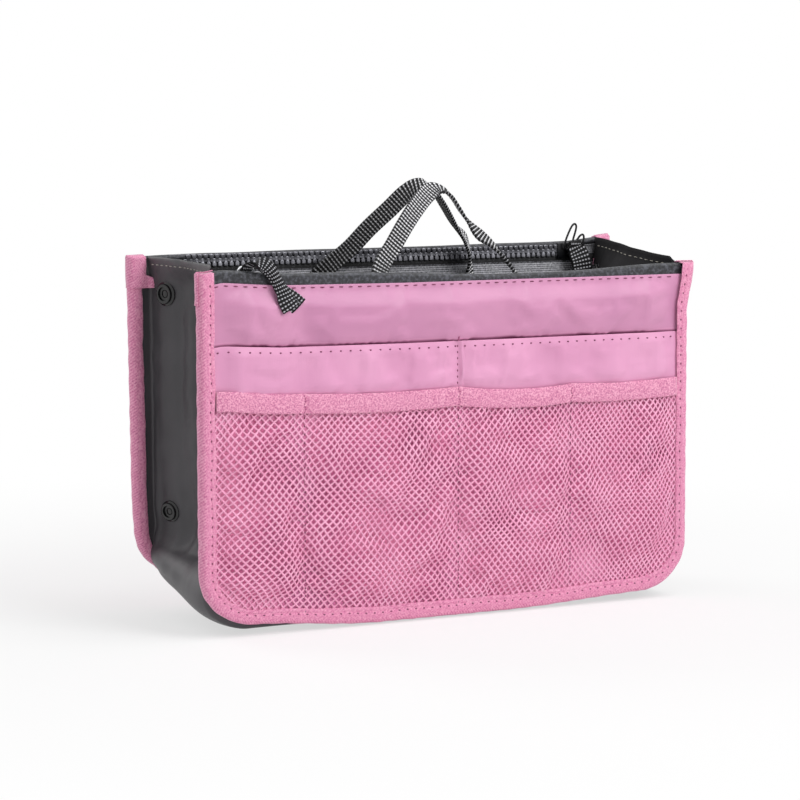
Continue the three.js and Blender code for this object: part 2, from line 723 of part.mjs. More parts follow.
// Webbing tab folded round the top of the ring, its two tails lying together.
// For a share of the tail's bend, bend gives the fall below the ring's top, the way outward and the heading.
function pullTab(leanDegrees, slantDegrees, bend) {
  const { bar, up } = pullFrame(leanDegrees);
  const top = bar.clone().addScaledVector(up, RING_TALL - RING_WIRE);
  const eye = RING_WIRE / 2 + CLEARANCE + TAB_WEBBING / 2;
  const tailHalf = (TAB_WEBBING + CLEARANCE) / 2;
  const slant = THREE.MathUtils.degToRad(slantDegrees);
  const bendSteps = 5;
  const tailSteps = 5;
  const tail = [];
  for (let i = 1; i <= bendSteps; i += 1) {
    const { fall, way, heading } = bend(i / bendSteps);
    const middle = top.clone().add(new THREE.Vector3(0, -fall, way));
    const half = THREE.MathUtils.lerp(eye, tailHalf, smooth(i / bendSteps));
    tail.push({ middle, half, heading, across: new THREE.Vector3(1, 0, 0) });
  }
  const bent = tail[tail.length - 1].middle;
  for (let i = 1; i <= tailSteps; i += 1) {
    const drop = TAB_LENGTH * i / tailSteps;
    const turn = slant * smooth(Math.min(1, 2 * i / tailSteps));
    const shift = Math.tan(slant) * drop * smooth(i / tailSteps);
    const middle = bent.clone().add(new THREE.Vector3(shift, -drop, 0));
    const across = new THREE.Vector3(Math.cos(turn), Math.sin(turn), 0);
    tail.push({ middle, half: tailHalf, heading: -Math.PI / 2, across });
  }
  const ply = ({ middle, half, heading, across }, sign) => {
    const aside = new THREE.Vector3(0, Math.cos(heading), -Math.sin(heading));
    return { point: middle.clone().addScaledVector(aside, sign * half), across };
  };
  const start = bend(0).heading;
  const fold = [90, 135, 180, 225, 270].map((degrees) => {
    const round = start + THREE.MathUtils.degToRad(degrees);
    const point = top.clone().add(new THREE.Vector3(0, Math.sin(round) * eye, Math.cos(round) * eye));
    return { point, across: new THREE.Vector3(1, 0, 0) };
  });
  const outerPly = tail.map((place) => ply(place, 1)).reverse();
  const innerPly = tail.map((place) => ply(place, -1));
  return strap([...outerPly, ...fold, ...innerPly], TAB_WIDTH, TAB_WEBBING);
}

// The front tab is laid outward over the hem and turns down before the cover pocket
function bendOverHem(share) {
  const tabHalf = TAB_WEBBING + CLEARANCE / 2;
  const reach = layers.cover.outer + CLEARANCE + tabHalf - pullTopOutward(RING_LEAN_FRONT);
  const turn = share * Math.PI / 2;
  return { fall: TAB_BEND * (1 - Math.cos(turn)), way: reach * Math.sin(turn), heading: -turn };
}

// The rear tab hangs down inside the bag, clear of the bail that holds its ring
function bendInside(share) {
  const clear = BAR_OUTWARD - BAIL_OUTWARD + CLEARANCE + TAB_WEBBING + CLEARANCE / 2;
  return { fall: 2 * TAB_BEND * share, way: -clear * smooth(share), heading: -Math.PI / 2 };
}

function pullTopOutward(leanDegrees) {
  return BAR_OUTWARD + (RING_TALL - RING_WIRE) * Math.sin(THREE.MathUtils.degToRad(leanDegrees));
}

// Webbing handle: both ends sewn under the zip, leaning in to a rounded top and turning flat on it
function handle() {
  const half = HANDLE_SPAN / 2;
  const root = layers.lining.inner - CLEARANCE - HANDLE_WEBBING / 2;
  const low = LINING_TOP;
  const rise = HANDLE_APEX_HEIGHT - low;
  const lean = root - HANDLE_APEX_FROM_MIDDLE;
  const leg = [[1, 0, 0], [0.98, 0.1, 0.06], [0.84, 0.42, 0.38], [0.42, 0.86, 0.84], [0, 1, 1]];
  const left = leg.map(([wide, up, inward]) =>
    new THREE.Vector3(-wide * half, low + up * rise, root - inward * lean));
  const right = left.slice(0, -1).reverse().map((point) => new THREE.Vector3(-point.x, point.y, point.z));
  const curve = new THREE.CatmullRomCurve3(left.concat(right), false, "centripetal");
  const route = [];
  const steps = 2 * HANDLE_STEPS;
  for (let i = 0; i <= steps; i += 1) {
    const share = i / steps;
    const fromEnd = Math.min(share, 1 - share) * 2;
    const turn = THREE.MathUtils.smoothstep(fromEnd, HANDLE_TWIST_START, HANDLE_TWIST_END) * Math.PI / 2;
    const hand = share < 0.5 ? 1 : -1;
    const across = new THREE.Vector3(hand * Math.cos(turn), 0, Math.sin(turn));
    route.push({ point: curve.getPoint(share), across });
  }
  return strap(route, HANDLE_WIDTH, HANDLE_WEBBING);
}

// All pieces of one side. front decides the snap halves, the pull's place and the name's first word
function buildSide(front) {
  const side = front ? "front" : "rear";
  const group = new THREE.Group();
  const nylon = material(PINK_NYLON, 0.6);
  const tape = material(PINK_TAPE, 0.85);
  const charcoal = material(CHARCOAL_NYLON, 0.6);
  const zipTape = material(ZIP_PLASTIC, 0.8);
  const teeth = material(ZIP_PLASTIC, 0.4);
  const webbing = material(BLACK_WEBBING, 0.85);
  const nickel = material(front ? NICKEL : BLACK_PLASTIC, 0.35, front ? 0.9 : 0.6);
  const plastic = material(BLACK_PLASTIC, 0.4);
  const lean = front ? RING_LEAN_FRONT : 0;
  const slant = front ? TAB_SLANT_FRONT : TAB_SLANT_REAR;
  const add = (name, geometry, finish) => group.add(piece(`${side}_${name}`, geometry, finish));

  add("base_panel", basePanel(), material(HEM_NYLON, 0.6));
  add("padding", padding(), material(WHITE_FOAM, 0.95));
  add("cover_pocket", pocketCloth(COVER_DROP, layers.cover), nylon);
  add("slip_pocket", pocketCloth(SLIP_DROP, layers.slip), nylon);
  add("mesh_pocket", meshPocket(), tape);
  add("mesh_elastic", meshElastic(), tape);
  add("edge_binding", edgeBinding(), tape);
  add("lining", lining(), charcoal);
  add("zip_tape_upper", zipTapeUpper(), zipTape);
  add("zip_tape_lower", zipTapeLower(), zipTape);
  add("zip_teeth_upper", zipTeeth(1), teeth);
  add("zip_teeth_lower", zipTeeth(-1), teeth);
  add("zip_slider", zipSlider(), nickel);
  add("pull_ring", pullRing(lean), nickel);
  add("pull_tab", pullTab(lean, slant, front ? bendOverHem : bendInside), webbing);
  add("handle", handle(), webbing);
  add("base_half", baseHalf(), charcoal);
  for (const hand of [-1, 1]) {
    const isLeft = front === hand < 0;
    const where = isLeft ? "left" : "right";
    add(`${where}_gusset`, gussetHalf(hand), charcoal);
    SNAP_HEIGHTS.forEach((height, i) => {
      const level = i === 0 ? "upper" : "lower";
      const half = front ? snapStud() : snapSocket();
      const kind = front ? "stud" : "socket";
      add(`${where}_${level}_snap_${kind}`, placedOnWeb(half, hand, height), plastic);
      add(`${where}_${level}_snap_cap`, placedOnWeb(snapCap(), hand, height), plastic);
    });
  }
  group.rotation.x = Math.PI / 2;
  return group;
}

const organizer = new THREE.Group();
organizer.add(buildSide(true));
const rearTurn = new THREE.Group();
rearTurn.rotation.z = Math.PI;
rearTurn.add(buildSide(false));
organizer.add(rearTurn);

export default organizer;
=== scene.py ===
# %% [markdown]
# # A purse organizer insert
# The insert is a fabric box without a lid. Two padded sides carry the pockets, a charcoal strip joins
# them round the sides and the bottom, each side has a zip along its top edge, and a webbing handle
# stands inside each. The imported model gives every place, so it is loaded first and is never moved.

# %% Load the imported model
import math
from contextlib import contextmanager

import bpy
import numpy as np
from mathutils import Matrix, Vector


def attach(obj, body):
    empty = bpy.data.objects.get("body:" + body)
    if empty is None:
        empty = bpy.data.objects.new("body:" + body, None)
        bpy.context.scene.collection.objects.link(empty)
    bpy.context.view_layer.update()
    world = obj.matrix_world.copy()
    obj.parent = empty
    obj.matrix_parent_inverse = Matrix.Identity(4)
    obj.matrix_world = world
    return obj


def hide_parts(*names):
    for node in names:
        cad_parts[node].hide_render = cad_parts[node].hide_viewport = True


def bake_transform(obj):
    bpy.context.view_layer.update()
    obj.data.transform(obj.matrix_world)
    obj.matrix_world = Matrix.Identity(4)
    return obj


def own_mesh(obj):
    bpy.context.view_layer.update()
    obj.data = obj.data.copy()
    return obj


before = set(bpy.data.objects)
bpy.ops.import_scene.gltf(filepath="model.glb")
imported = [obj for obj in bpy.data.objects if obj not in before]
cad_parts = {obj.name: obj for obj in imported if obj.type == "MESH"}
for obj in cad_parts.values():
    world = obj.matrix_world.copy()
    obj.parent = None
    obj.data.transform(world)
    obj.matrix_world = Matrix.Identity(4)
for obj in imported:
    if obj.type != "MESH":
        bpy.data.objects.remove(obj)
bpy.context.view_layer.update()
MM = 0.001

# %% [markdown]
# ## Camera
# The photograph is taken from the front left, a little above the top edge. A long lens keeps the upright
# edges upright, so the camera stands one and a half metres away. Position and turn could be set by eye,
# but here they were worked out from edges of the object whose places are known.

# %% Camera
bpy.ops.object.select_all(action="DESELECT")
bpy.ops.object.camera_add(
    location=(-0.7668, -1.3589, 0.2787),
    rotation=(math.radians(83.7525), math.radians(-0.318), math.radians(-29.126)),
)
camera = bpy.context.active_object
camera.data.sensor_width = 36
camera.data.lens = 135.27
bpy.context.scene.camera = camera
print("camera lens:", camera.data.lens)

# %% [markdown]
# ## Nodes
# Every look below, also that of the floor and the world, is a tree of nodes. Nodes could be added and
# linked one line at a time, but that hides what the tree does, so a few small functions do it. They take
# a material or a world, because both own a tree.

# %% Helpers for nodes
def add_node(owner, kind, links=(), **values):
    """Adds a node, sets its values by socket or property name, and links (socket, output) pairs to it."""
    node = owner.node_tree.nodes.new("ShaderNode" + kind)
    for key, value in values.items():
        if hasattr(node, key):
            setattr(node, key, value)
        else:
            node.inputs[key.replace("_", " ").title()].default_value = value
    for socket, output in links:
        owner.node_tree.links.new(output, node.inputs[socket])
    return node


def where(owner, kind="Object"):
    return add_node(owner, "TexCoord").outputs[kind]


def arithmetic(owner, operation, first, second):
    node = add_node(owner, "Math", operation=operation)
    for socket, value in zip(node.inputs, (first, second)):
        if isinstance(value, float):
            socket.default_value = value
        else:
            owner.node_tree.links.new(value, socket)
    return node.outputs[0]


def show_mix(owner, output, share, first, second):
    """Shows two shaders, mixed by a share, as the surface of a world or a material."""
    mix = add_node(owner, "MixShader", [("Fac", share), (1, first.outputs[0]), (2, second.outputs[0])])
    owner.node_tree.links.new(mix.outputs[0], owner.node_tree.nodes[output].inputs["Surface"])


print("node helpers are ready")

# %% [markdown]
# ## Floor and light
# The insert stands on a white table in soft light. One way is a very bright lamp, but that washes out
# the pink, so the lamps stay at a plain level and the white comes from the floor and the world as the
# camera sees them. Near the insert more than a third of the floor's look is ordinary matt paint, so that
# the shadow is kept, and further away the share of white rises until no line is left between floor and
# background.

# %% World and floor
SKY_LIGHT = 0.44
FLOOR_GLOW = 0.62
GLOW_NEAR, GLOW_FAR = 0.22, 0.55
FLOOR_SIZE, FLOOR_LEVEL = 30, -0.0002
scene = bpy.context.scene
scene.view_settings.view_transform = "Standard"


def seen_directly(owner):
    """A value that is 1 for what the camera sees, also in a mirror or through glass."""
    ray = add_node(owner, "LightPath").outputs
    mirrored = arithmetic(owner, "MAXIMUM", ray["Is Camera Ray"], ray["Is Glossy Ray"])
    return arithmetic(owner, "MAXIMUM", mirrored, ray["Is Transmission Ray"])


world = bpy.data.worlds.new("studio")
scene.world = world
world.use_nodes = True
soft_sky = world.node_tree.nodes["Background"]
soft_sky.inputs["Strength"].default_value = SKY_LIGHT
white_sky = add_node(world, "Background", strength=1.0)
for background in (soft_sky, white_sky):
    background.inputs["Color"].default_value = (1, 1, 1, 1)
show_mix(world, "World Output", seen_directly(world), soft_sky, white_sky)

bpy.ops.mesh.primitive_plane_add(size=FLOOR_SIZE, location=(0, 0, FLOOR_LEVEL))
floor = bpy.context.active_object
floor.name = "floor"
paint = bpy.data.materials.new("floor_paint")
paint.use_nodes = True
matt = paint.node_tree.nodes["Principled BSDF"]
matt.inputs["Base Color"].default_value = (0.9, 0.9, 0.9, 1)
matt.inputs["Roughness"].default_value = 0.9
matt.inputs["Specular IOR Level"].default_value = 0
distance = add_node(paint, "VectorMath", [("Vector", where(paint))], operation="LENGTH").outputs["Value"]
whiteness = add_node(
    paint, "MapRange", [("Value", distance)], interpolation_type="SMOOTHSTEP",
    from_min=GLOW_NEAR, from_max=GLOW_FAR, to_min=FLOOR_GLOW, to_max=1.0,
).outputs["Result"]
glow = add_node(paint, "Emission", strength=1.0)
glow_share = arithmetic(paint, "MULTIPLY", seen_directly(paint), whiteness)
show_mix(paint, "Material Output", glow_share, matt, glow)
floor.data.materials.append(paint)
print("floor glow near the insert:", FLOOR_GLOW)

# %% Lamps
LAMP_AIM = Vector((0, 0, 0.1))
LAMP_SIZE = 1.2


def add_lamp(name, place, power):
    bpy.ops.object.light_add(type="AREA", location=place)
    lamp = bpy.context.active_object
    lamp.name = name
    lamp.data.size = LAMP_SIZE
    lamp.data.energy = power
    lamp.rotation_mode = "QUATERNION"
    lamp.rotation_quaternion = (LAMP_AIM - Vector(place)).to_track_quat("-Z", "Y")


add_lamp("key_lamp", (0.8, -1.9, 1.7), 25)
add_lamp("top_lamp", (0.5, -0.6, 2.0), 16)
add_lamp("back_lamp", (-1.1, 1.7, 1.4), 11)

# %% [markdown]
# ## Finishes
# Every finish is made of nodes. Cloth has three scales: the colour drifts slowly, the weave is a fine
# bump, and single threads catch a speckle of light. A wave texture has a period of a twentieth of a turn
# per unit of scale, so a small function turns a thread's width into that scale. UV maps here are in
# metres, so a thread has one width everywhere.

# %% Helpers for the finishes
def colour_of(code):
    """The linear colour of a web colour."""
    parts = [(code >> shift & 255) / 255 for shift in (16, 8, 0)]
    linear = [p / 12.92 if p <= 0.04045 else ((p + 0.055) / 1.055) ** 2.4 for p in parts]
    return (*linear, 1)


def new_finish(name, roughness, sheen=0.0, metal=0.0, specular=0.5):
    material = bpy.data.materials.new(name)
    material.use_nodes = True
    shader = material.node_tree.nodes["Principled BSDF"]
    shader.inputs["Roughness"].default_value = roughness
    shader.inputs["Metallic"].default_value = metal
    shader.inputs["Specular IOR Level"].default_value = specular
    shader.inputs["Sheen Weight"].default_value = sheen
    shader.inputs["Sheen Roughness"].default_value = 0.4
    return material


def threads(material, coords, direction, width):
    """Bands that are one thread wide, as a value from 0 to 1."""
    turns = 10 if direction == "DIAGONAL" else 20
    return add_node(
        material, "TexWave", [("Vector", coords)],
        bands_direction=direction, scale=math.tau / (turns * width),
    ).outputs["Fac"]


def cloud(material, coords, size, detail=2):
    noise = add_node(material, "TexNoise", [("Vector", coords)], scale=1 / size, detail=detail)
    return noise.outputs["Fac"]


def tint(material, value, stops):
    """Turns a value into a colour by stops of (place, web colour), and gives it to the shader."""
    ramp = add_node(material, "ValToRGB", [("Fac", value)])
    elements = ramp.color_ramp.elements
    for element, (place, code) in zip(elements, (stops[0], stops[-1])):
        element.position = place
        element.color = colour_of(code)
    for place, code in stops[1:-1]:
        elements.new(place).color = colour_of(code)
    shader = material.node_tree.nodes["Principled BSDF"]
    material.node_tree.links.new(ramp.outputs["Color"], shader.inputs["Base Color"])


def emboss(material, value, depth, strength=1.0):
    bump = add_node(material, "Bump", [("Height", value)], strength=strength, distance=depth)
    shader = material.node_tree.nodes["Principled BSDF"]
    material.node_tree.links.new(bump.outputs["Normal"], shader.inputs["Normal"])


print("finish helpers are ready")

# %% [markdown]
# ### Cloth finishes
# The pockets are satin nylon: a fine plain weave, which two crossed sets of threads give. Two pink
# cloths have painted shade: the cover's cloth is painted dark in the slip pocket's mouth, and the slip
# pocket's cloth is painted darker behind the net, as the net's shade. Both go by the height on the
# cloth's own UV map. The binding is a twill tape: its threads run slanted and a speckle breaks them up.
# The elastic has short loops, for which noise alone is right. The dark cloths follow the same plan; the
# zip tape has painted shade near its teeth, and the strip's backing is painted darker as shade. Webbing
# shows light rungs across a dark strap, and the pull tabs' webbing is darker than that of the handles.

# %% Pink finishes
THREAD = 0.0006
DRIFT_SIZE = 0.035
MOUTH_SHADE_UV = 136.1
NET_SHADE_UV = (104, 110)


def plain_weave(material, depth, strength):
    coords = where(material, "UV")
    warp = threads(material, coords, "X", THREAD)
    weft = threads(material, coords, "Y", THREAD)
    emboss(material, arithmetic(material, "MULTIPLY", warp, weft), depth, strength)


def height_share(material, low, high):
    """A value that goes from 0 to 1 between two heights on the cloth, in millimetres of its UV map."""
    level = add_node(material, "SeparateXYZ", [("Vector", where(material, "UV"))]).outputs["Y"]
    return add_node(
        material, "MapRange", [("Value", level)],
        from_min=low * MM, from_max=high * MM, to_min=0.0, to_max=1.0,
    ).outputs["Result"]


def scaled_cloud(material, size, detail=2):
    """A cloud with half its range, which leaves the other half for a second effect."""
    return arithmetic(material, "MULTIPLY", cloud(material, where(material), size, detail), 0.5)


def sewing_thread(name, dark, light):
    material = new_finish(name, 0.7)
    tint(material, cloud(material, where(material), 0.001), [(0.3, dark), (0.7, light)])
    return material


pink_nylon = new_finish("pink_nylon_cloth", 0.46, sheen=0.25)
# Painted shade: just above the slip pocket's top, the cover's cloth turns dark plum where the pocket's
# mouth shades it.
mouth_shade = arithmetic(pink_nylon, "SUBTRACT", 1.0, height_share(pink_nylon, MOUTH_SHADE_UV + 0.4, MOUTH_SHADE_UV + 1.9))
mouth_shade = arithmetic(pink_nylon, "MULTIPLY", mouth_shade, 0.5)
tint(pink_nylon, arithmetic(pink_nylon, "ADD", scaled_cloud(pink_nylon, DRIFT_SIZE), mouth_shade), [
    (0.15, 0xCC8AB0), (0.35, 0xDA97BC), (0.5, 0xD088AF), (0.8, 0x6E2C50),
])
plain_weave(pink_nylon, 0.00006, 0.35)

slip_nylon = new_finish("pink_slip_cloth", 0.46, sheen=0.2)
# Painted shade: below the net's top, the slip pocket's cloth is painted darker and mottled to stand for the
# net's shade on it.
net_shade_share = arithmetic(slip_nylon, "SUBTRACT", 1.0, height_share(slip_nylon, *NET_SHADE_UV))
bare = scaled_cloud(slip_nylon, DRIFT_SIZE)
painted_net_shade = arithmetic(slip_nylon, "ADD", scaled_cloud(slip_nylon, 0.028, 1), 0.5)
layers = add_node(slip_nylon, "Mix", [("Factor", net_shade_share), ("A", bare), ("B", painted_net_shade)])
tint(slip_nylon, layers.outputs["Result"], [
    (0.15, 0xDE98BF), (0.35, 0xEAA6CB), (0.6, 0xB85C8A), (0.74, 0xDE7FAC), (0.88, 0xF6A2C8),
])
plain_weave(slip_nylon, 0.00006, 0.35)

pink_tape = new_finish("pink_twill_tape", 0.8, sheen=0.4)
slanted = threads(pink_tape, where(pink_tape, "UV"), "DIAGONAL", 0.0016)
speckle = cloud(pink_tape, where(pink_tape), 0.0009, 3)
twill = arithmetic(pink_tape, "ADD", arithmetic(pink_tape, "MULTIPLY", slanted, 0.2), speckle)
tint(pink_tape, twill, [(0.36, 0xCB6E99), (0.58, 0xE690B5), (0.85, 0xF7B4CE)])
emboss(pink_tape, twill, 0.00028, 0.6)

pink_loops = new_finish("pink_elastic_loops", 0.9, sheen=0.5)
loops = cloud(pink_loops, where(pink_loops), 0.0008, 3)
tint(pink_loops, loops, [(0.34, 0xC66F98), (0.5, 0xE695B7), (0.68, 0xFBBDD4)])
emboss(pink_loops, loops, 0.0003, 0.8)

pink_net = new_finish("pink_net_strands", 0.5, sheen=0.3)
tint(pink_net, cloud(pink_net, where(pink_net), 0.012), [(0.3, 0xF59FC5), (0.7, 0xFFB4D6)])
emboss(pink_net, cloud(pink_net, where(pink_net), 0.0004, 1), 0.0001, 0.5)

pink_thread = sewing_thread("dark_pink_thread", 0x652846, 0x8C3F63)
rose_thread = sewing_thread("rose_thread", 0xA04A74, 0xBC6A90)
print("pink finishes:", [m.name for m in bpy.data.materials if m.name.startswith("pink")])

# %% Dark finishes
TAPE_SHADE = (7.4, 8.6)
RIB = 0.0019

hem_nylon = new_finish("hem_nylon_cloth", 0.55, sheen=0.3)
grain = cloud(hem_nylon, where(hem_nylon), 0.0017, 3)
tint(hem_nylon, grain, [(0.36, 0x121318), (0.5, 0x2B2C32), (0.66, 0x505159)])
emboss(hem_nylon, grain, 0.0002, 0.5)

charcoal_nylon = new_finish("charcoal_nylon_cloth", 0.45, sheen=0.1)
charcoal_shaded_back = new_finish("charcoal_cloth_painted_shade", 0.85, specular=0.15)
# The backing's darker colour is painted shade for the inside of the box. Its higher roughness and lower
# specular are the cloth's duller back.
for cloth, dark, light in ((charcoal_nylon, 0x373539, 0x444246), (charcoal_shaded_back, 0x1C1B1D, 0x262527)):
    tint(cloth, cloud(cloth, where(cloth), 0.03), [(0.3, dark), (0.7, light)])
    plain_weave(cloth, 0.00008, 0.4)

zip_cloth = new_finish("zip_tape_cloth", 0.75, sheen=0.3)
ribs = threads(zip_cloth, where(zip_cloth, "UV"), "Y", 0.0011)
fuzz = cloud(zip_cloth, where(zip_cloth), 0.0008, 3)
knit = arithmetic(zip_cloth, "ADD", arithmetic(zip_cloth, "MULTIPLY", ribs, 0.4), fuzz)
shaded = arithmetic(zip_cloth, "MULTIPLY", height_share(zip_cloth, *TAPE_SHADE), 0.7)
knit = arithmetic(zip_cloth, "SUBTRACT", knit, shaded)
tint(zip_cloth, knit, [(0.2, 0x18181A), (0.42, 0x5C5C62), (0.7, 0xA4A4AA), (1.0, 0xDADAE0)])
emboss(zip_cloth, knit, 0.0002, 0.6)


def woven_strap(name, gap, tones):
    """Light rungs across a dark strap. gap says how far the warp threads break a rung up."""
    material = new_finish(name, 0.75, specular=0.3)
    warp = threads(material, where(material, "UV"), "X", RIB)
    weft = threads(material, where(material, "UV"), "Y", RIB)
    pick = arithmetic(material, "ADD", arithmetic(material, "MULTIPLY", warp, gap), 1.0 - gap)
    tint(material, arithmetic(material, "MULTIPLY", weft, pick), tones)
    return material


webbing = woven_strap("black_grey_webbing", 0.3, [
    (0.36, 0x070708), (0.52, 0x1E1E20), (0.68, 0x9A9A9E), (0.86, 0xF6F6F8),
])
tab_webbing = woven_strap("dark_tab_webbing", 0.5, [
    (0.3, 0x070709), (0.48, 0x1A1A1D), (0.66, 0x66666B), (0.86, 0xBEBEC3),
])

grey_thread = sewing_thread("grey_thread", 0x8A867E, 0xB4AFA5)
foam = new_finish("white_foam", 0.95)
tint(foam, cloud(foam, where(foam), 0.0015), [(0.3, 0xC9C8C4), (0.7, 0xE2E1DD)])
emboss(foam, cloud(foam, where(foam), 0.0008), 0.0003, 0.5)
print("dark finishes are ready")

# %% [markdown]
# ### Hard finishes
# Moulded plastic and metal show themselves by gloss. Slight unevenness in the gloss, from a cloud
# pattern, keeps them from looking like glass.

# %% Plastic and metal
MOTTLE, GRAIN = 0.004, 0.0005


def hard_finish(name, roughness, metal, dark, light):
    material = new_finish(name, roughness, metal=metal)
    tint(material, cloud(material, where(material), MOTTLE, 3), [(0.3, dark), (0.7, light)])
    emboss(material, cloud(material, where(material), GRAIN), 0.00004, 0.3)
    return material


zip_plastic = hard_finish("zip_tooth_plastic", 0.24, 0.5, 0x606066, 0xA0A0A8)
snap_plastic = hard_finish("snap_plastic_black", 0.2, 0, 0x0A0A0C, 0x131315)
nickel = hard_finish("bright_nickel", 0.3, 1, 0xD0D1D5, 0xECEDEF)
black_metal = hard_finish("black_lacquered_metal", 0.3, 0.6, 0x141416, 0x222226)
print("hard finishes are ready")

# %% [markdown]
# ## Tools for cloth
# A sheet of cloth starts as a flat grid. A place function then lays every point where the cloth hangs,
# in millimetres, and the UV map keeps the flat cloth's own measure. The front side faces towards minus
# Y. Each sheet is modelled once, for the front, and the rear takes a copy that is turned by half a turn.

# %% Helpers for meshes
HALF_LENGTH = 144
HEIGHT = 182
CORNER = 30
CLOTH_INSET = 1.0
BOTTOM = 1.3
WAVES, WAVE_SPREAD = 7, 4.5
SIDES = ("front", "rear")


def only(*pieces):
    bpy.ops.object.select_all(action="DESELECT")
    for piece in pieces:
        piece.select_set(True)
    bpy.context.view_layer.objects.active = pieces[0]


def primitive(name, add, **settings):
    """Adds a primitive with nothing else selected, so that the next operators act on it alone."""
    bpy.ops.object.select_all(action="DESELECT")
    add(**settings)
    piece = bpy.context.active_object
    piece.name = piece.data.name = name
    return piece


@contextmanager
def edit_mode():
    """Edit mode for the lines inside a with statement."""
    bpy.ops.object.mode_set(mode="EDIT")
    yield
    bpy.ops.object.mode_set(mode="OBJECT")


def points_of(piece):
    flat = np.empty(len(piece.data.vertices) * 3)
    piece.data.vertices.foreach_get("co", flat)
    return flat.reshape(-1, 3)


def move_points(piece, points):
    piece.data.vertices.foreach_set("co", np.ascontiguousarray(points).ravel())
    piece.data.update()


def select_points(piece, chosen):
    """Selects points for edit mode. A new primitive is selected all over, so the rest is cleared."""
    piece.data.edges.foreach_set("select", np.zeros(len(piece.data.edges), bool))
    piece.data.polygons.foreach_set("select", np.zeros(len(piece.data.polygons), bool))
    piece.data.vertices.foreach_set("select", chosen)


def apply_modifier(piece, kind, **settings):
    only(piece)
    modifier = piece.modifiers.new(kind.title(), kind)
    for key, value in settings.items():
        setattr(modifier, key, value)
    bpy.ops.object.modifier_apply(modifier=modifier.name)


def lay_cloth(name, columns, rows, place, size):
    """A grid of columns by rows, laid by place(u, w) in millimetres, with a UV map of size metres."""
    grid = {"x_subdivisions": columns, "y_subdivisions": rows, "size": 2}
    piece = primitive(name, bpy.ops.mesh.primitive_grid_add, **grid)
    share = (points_of(piece) + 1) / 2
    corners = np.empty(len(piece.data.loops), int)
    piece.data.loops.foreach_get("vertex_index", corners)
    uv = share[corners][:, :2] * np.array(size)
    piece.data.uv_layers.active.data.foreach_set("uv", uv.ravel())
    move_points(piece, np.stack(place(share[:, 0], share[:, 1]), axis=1) * MM)
    piece.location = (0, 0, 0)
    bpy.ops.object.shade_smooth()
    return piece


def thicken(piece, thickness, offset=-1.0, back=0):
    """Gives a sheet its thickness. back is added to the material's number on the new face."""
    apply_modifier(
        piece, "SOLIDIFY", thickness=thickness * MM, offset=offset,
        use_even_offset=False, material_offset=back,
    )


def rear_copy(piece, name):
    only(piece)
    bpy.ops.object.duplicate()
    twin = bpy.context.active_object
    twin.name = twin.data.name = name
    bpy.ops.transform.rotate(value=math.pi, orient_axis="Z", center_override=(0, 0, 0))
    bpy.ops.object.transform_apply(location=True, rotation=True, scale=True)
    return twin


def ripple(x, z, length, seed):
    """A smooth uneven pattern from -1 to 1: seven slanted waves of about this length."""
    draw = np.random.default_rng(seed)
    total = np.zeros_like(x, float)
    for _ in range(WAVES):
        turn, shift = draw.uniform(0, math.pi), draw.uniform(0, math.tau)
        wave = math.tau / (length * draw.uniform(0.7, 1.5))
        total += np.sin(wave * (x * math.cos(turn) + z * math.sin(turn)) + shift)
    return total / WAVE_SPREAD


def smooth(share):
    share = np.clip(share, 0, 1)
    return share * share * (3 - 2 * share)


def half_width(z, inset=CLOTH_INSET):
    """Half the panel's width at a height, with the rounded lower corners."""
    drop = np.clip(CORNER - z, 0, CORNER - inset)
    return HALF_LENGTH - CORNER + np.sqrt((CORNER - inset) ** 2 - drop ** 2)


print("cloth helpers are ready, panel width at 10 mm:", round(float(2 * half_width(np.array(10.0))), 1))

# %% [markdown]
# ### How the insert leans
# A fabric box never stands quite straight. In the photograph the front sags a little, the rear stands
# taller, the lower corners curl up from the table, most of all the rear left one, and the upper right
# corner flares. Bending every piece by hand would be slow, so one function moves all points alike when a
# piece is fitted, and neighbours stay together. The zip is stiffer than the cloth, so it keeps one
# height along its side and only dips where the hem does.

# %% Lean, and fitting a piece to its body
FRONT_SAG = ((-140, -131, -100, -30, 144), (-1.9, -0.4, -2.6, -3.4, -3.5))
REAR_RISE = ((-144, -100, 118, 144), (2.0, 3.2, 4.5, 7.0))
ZIP_SAG, ZIP_RISE = -3.0, ((-144, -118), (3.6, 5.2))
REAR_LEFT_SHIFT = ((0, 5, 12, 22, 36, 60, 182), (2.5, 5.0, 7.0, 5.0, 2.4, 1.0, -1.5))
HEM_LOW, HEM_DIP, DIP_MIDDLE, DIP_SPREAD = 165, 3.2, 42, 62
LEFT_CURL, RIGHT_CURL, REAR_LEFT_CURL = 4.8, 3.6, 17
CORNER_FLARE, RIGHT_SHIFT, LOW_SHIFT = 3.8, -1.6, 1.4


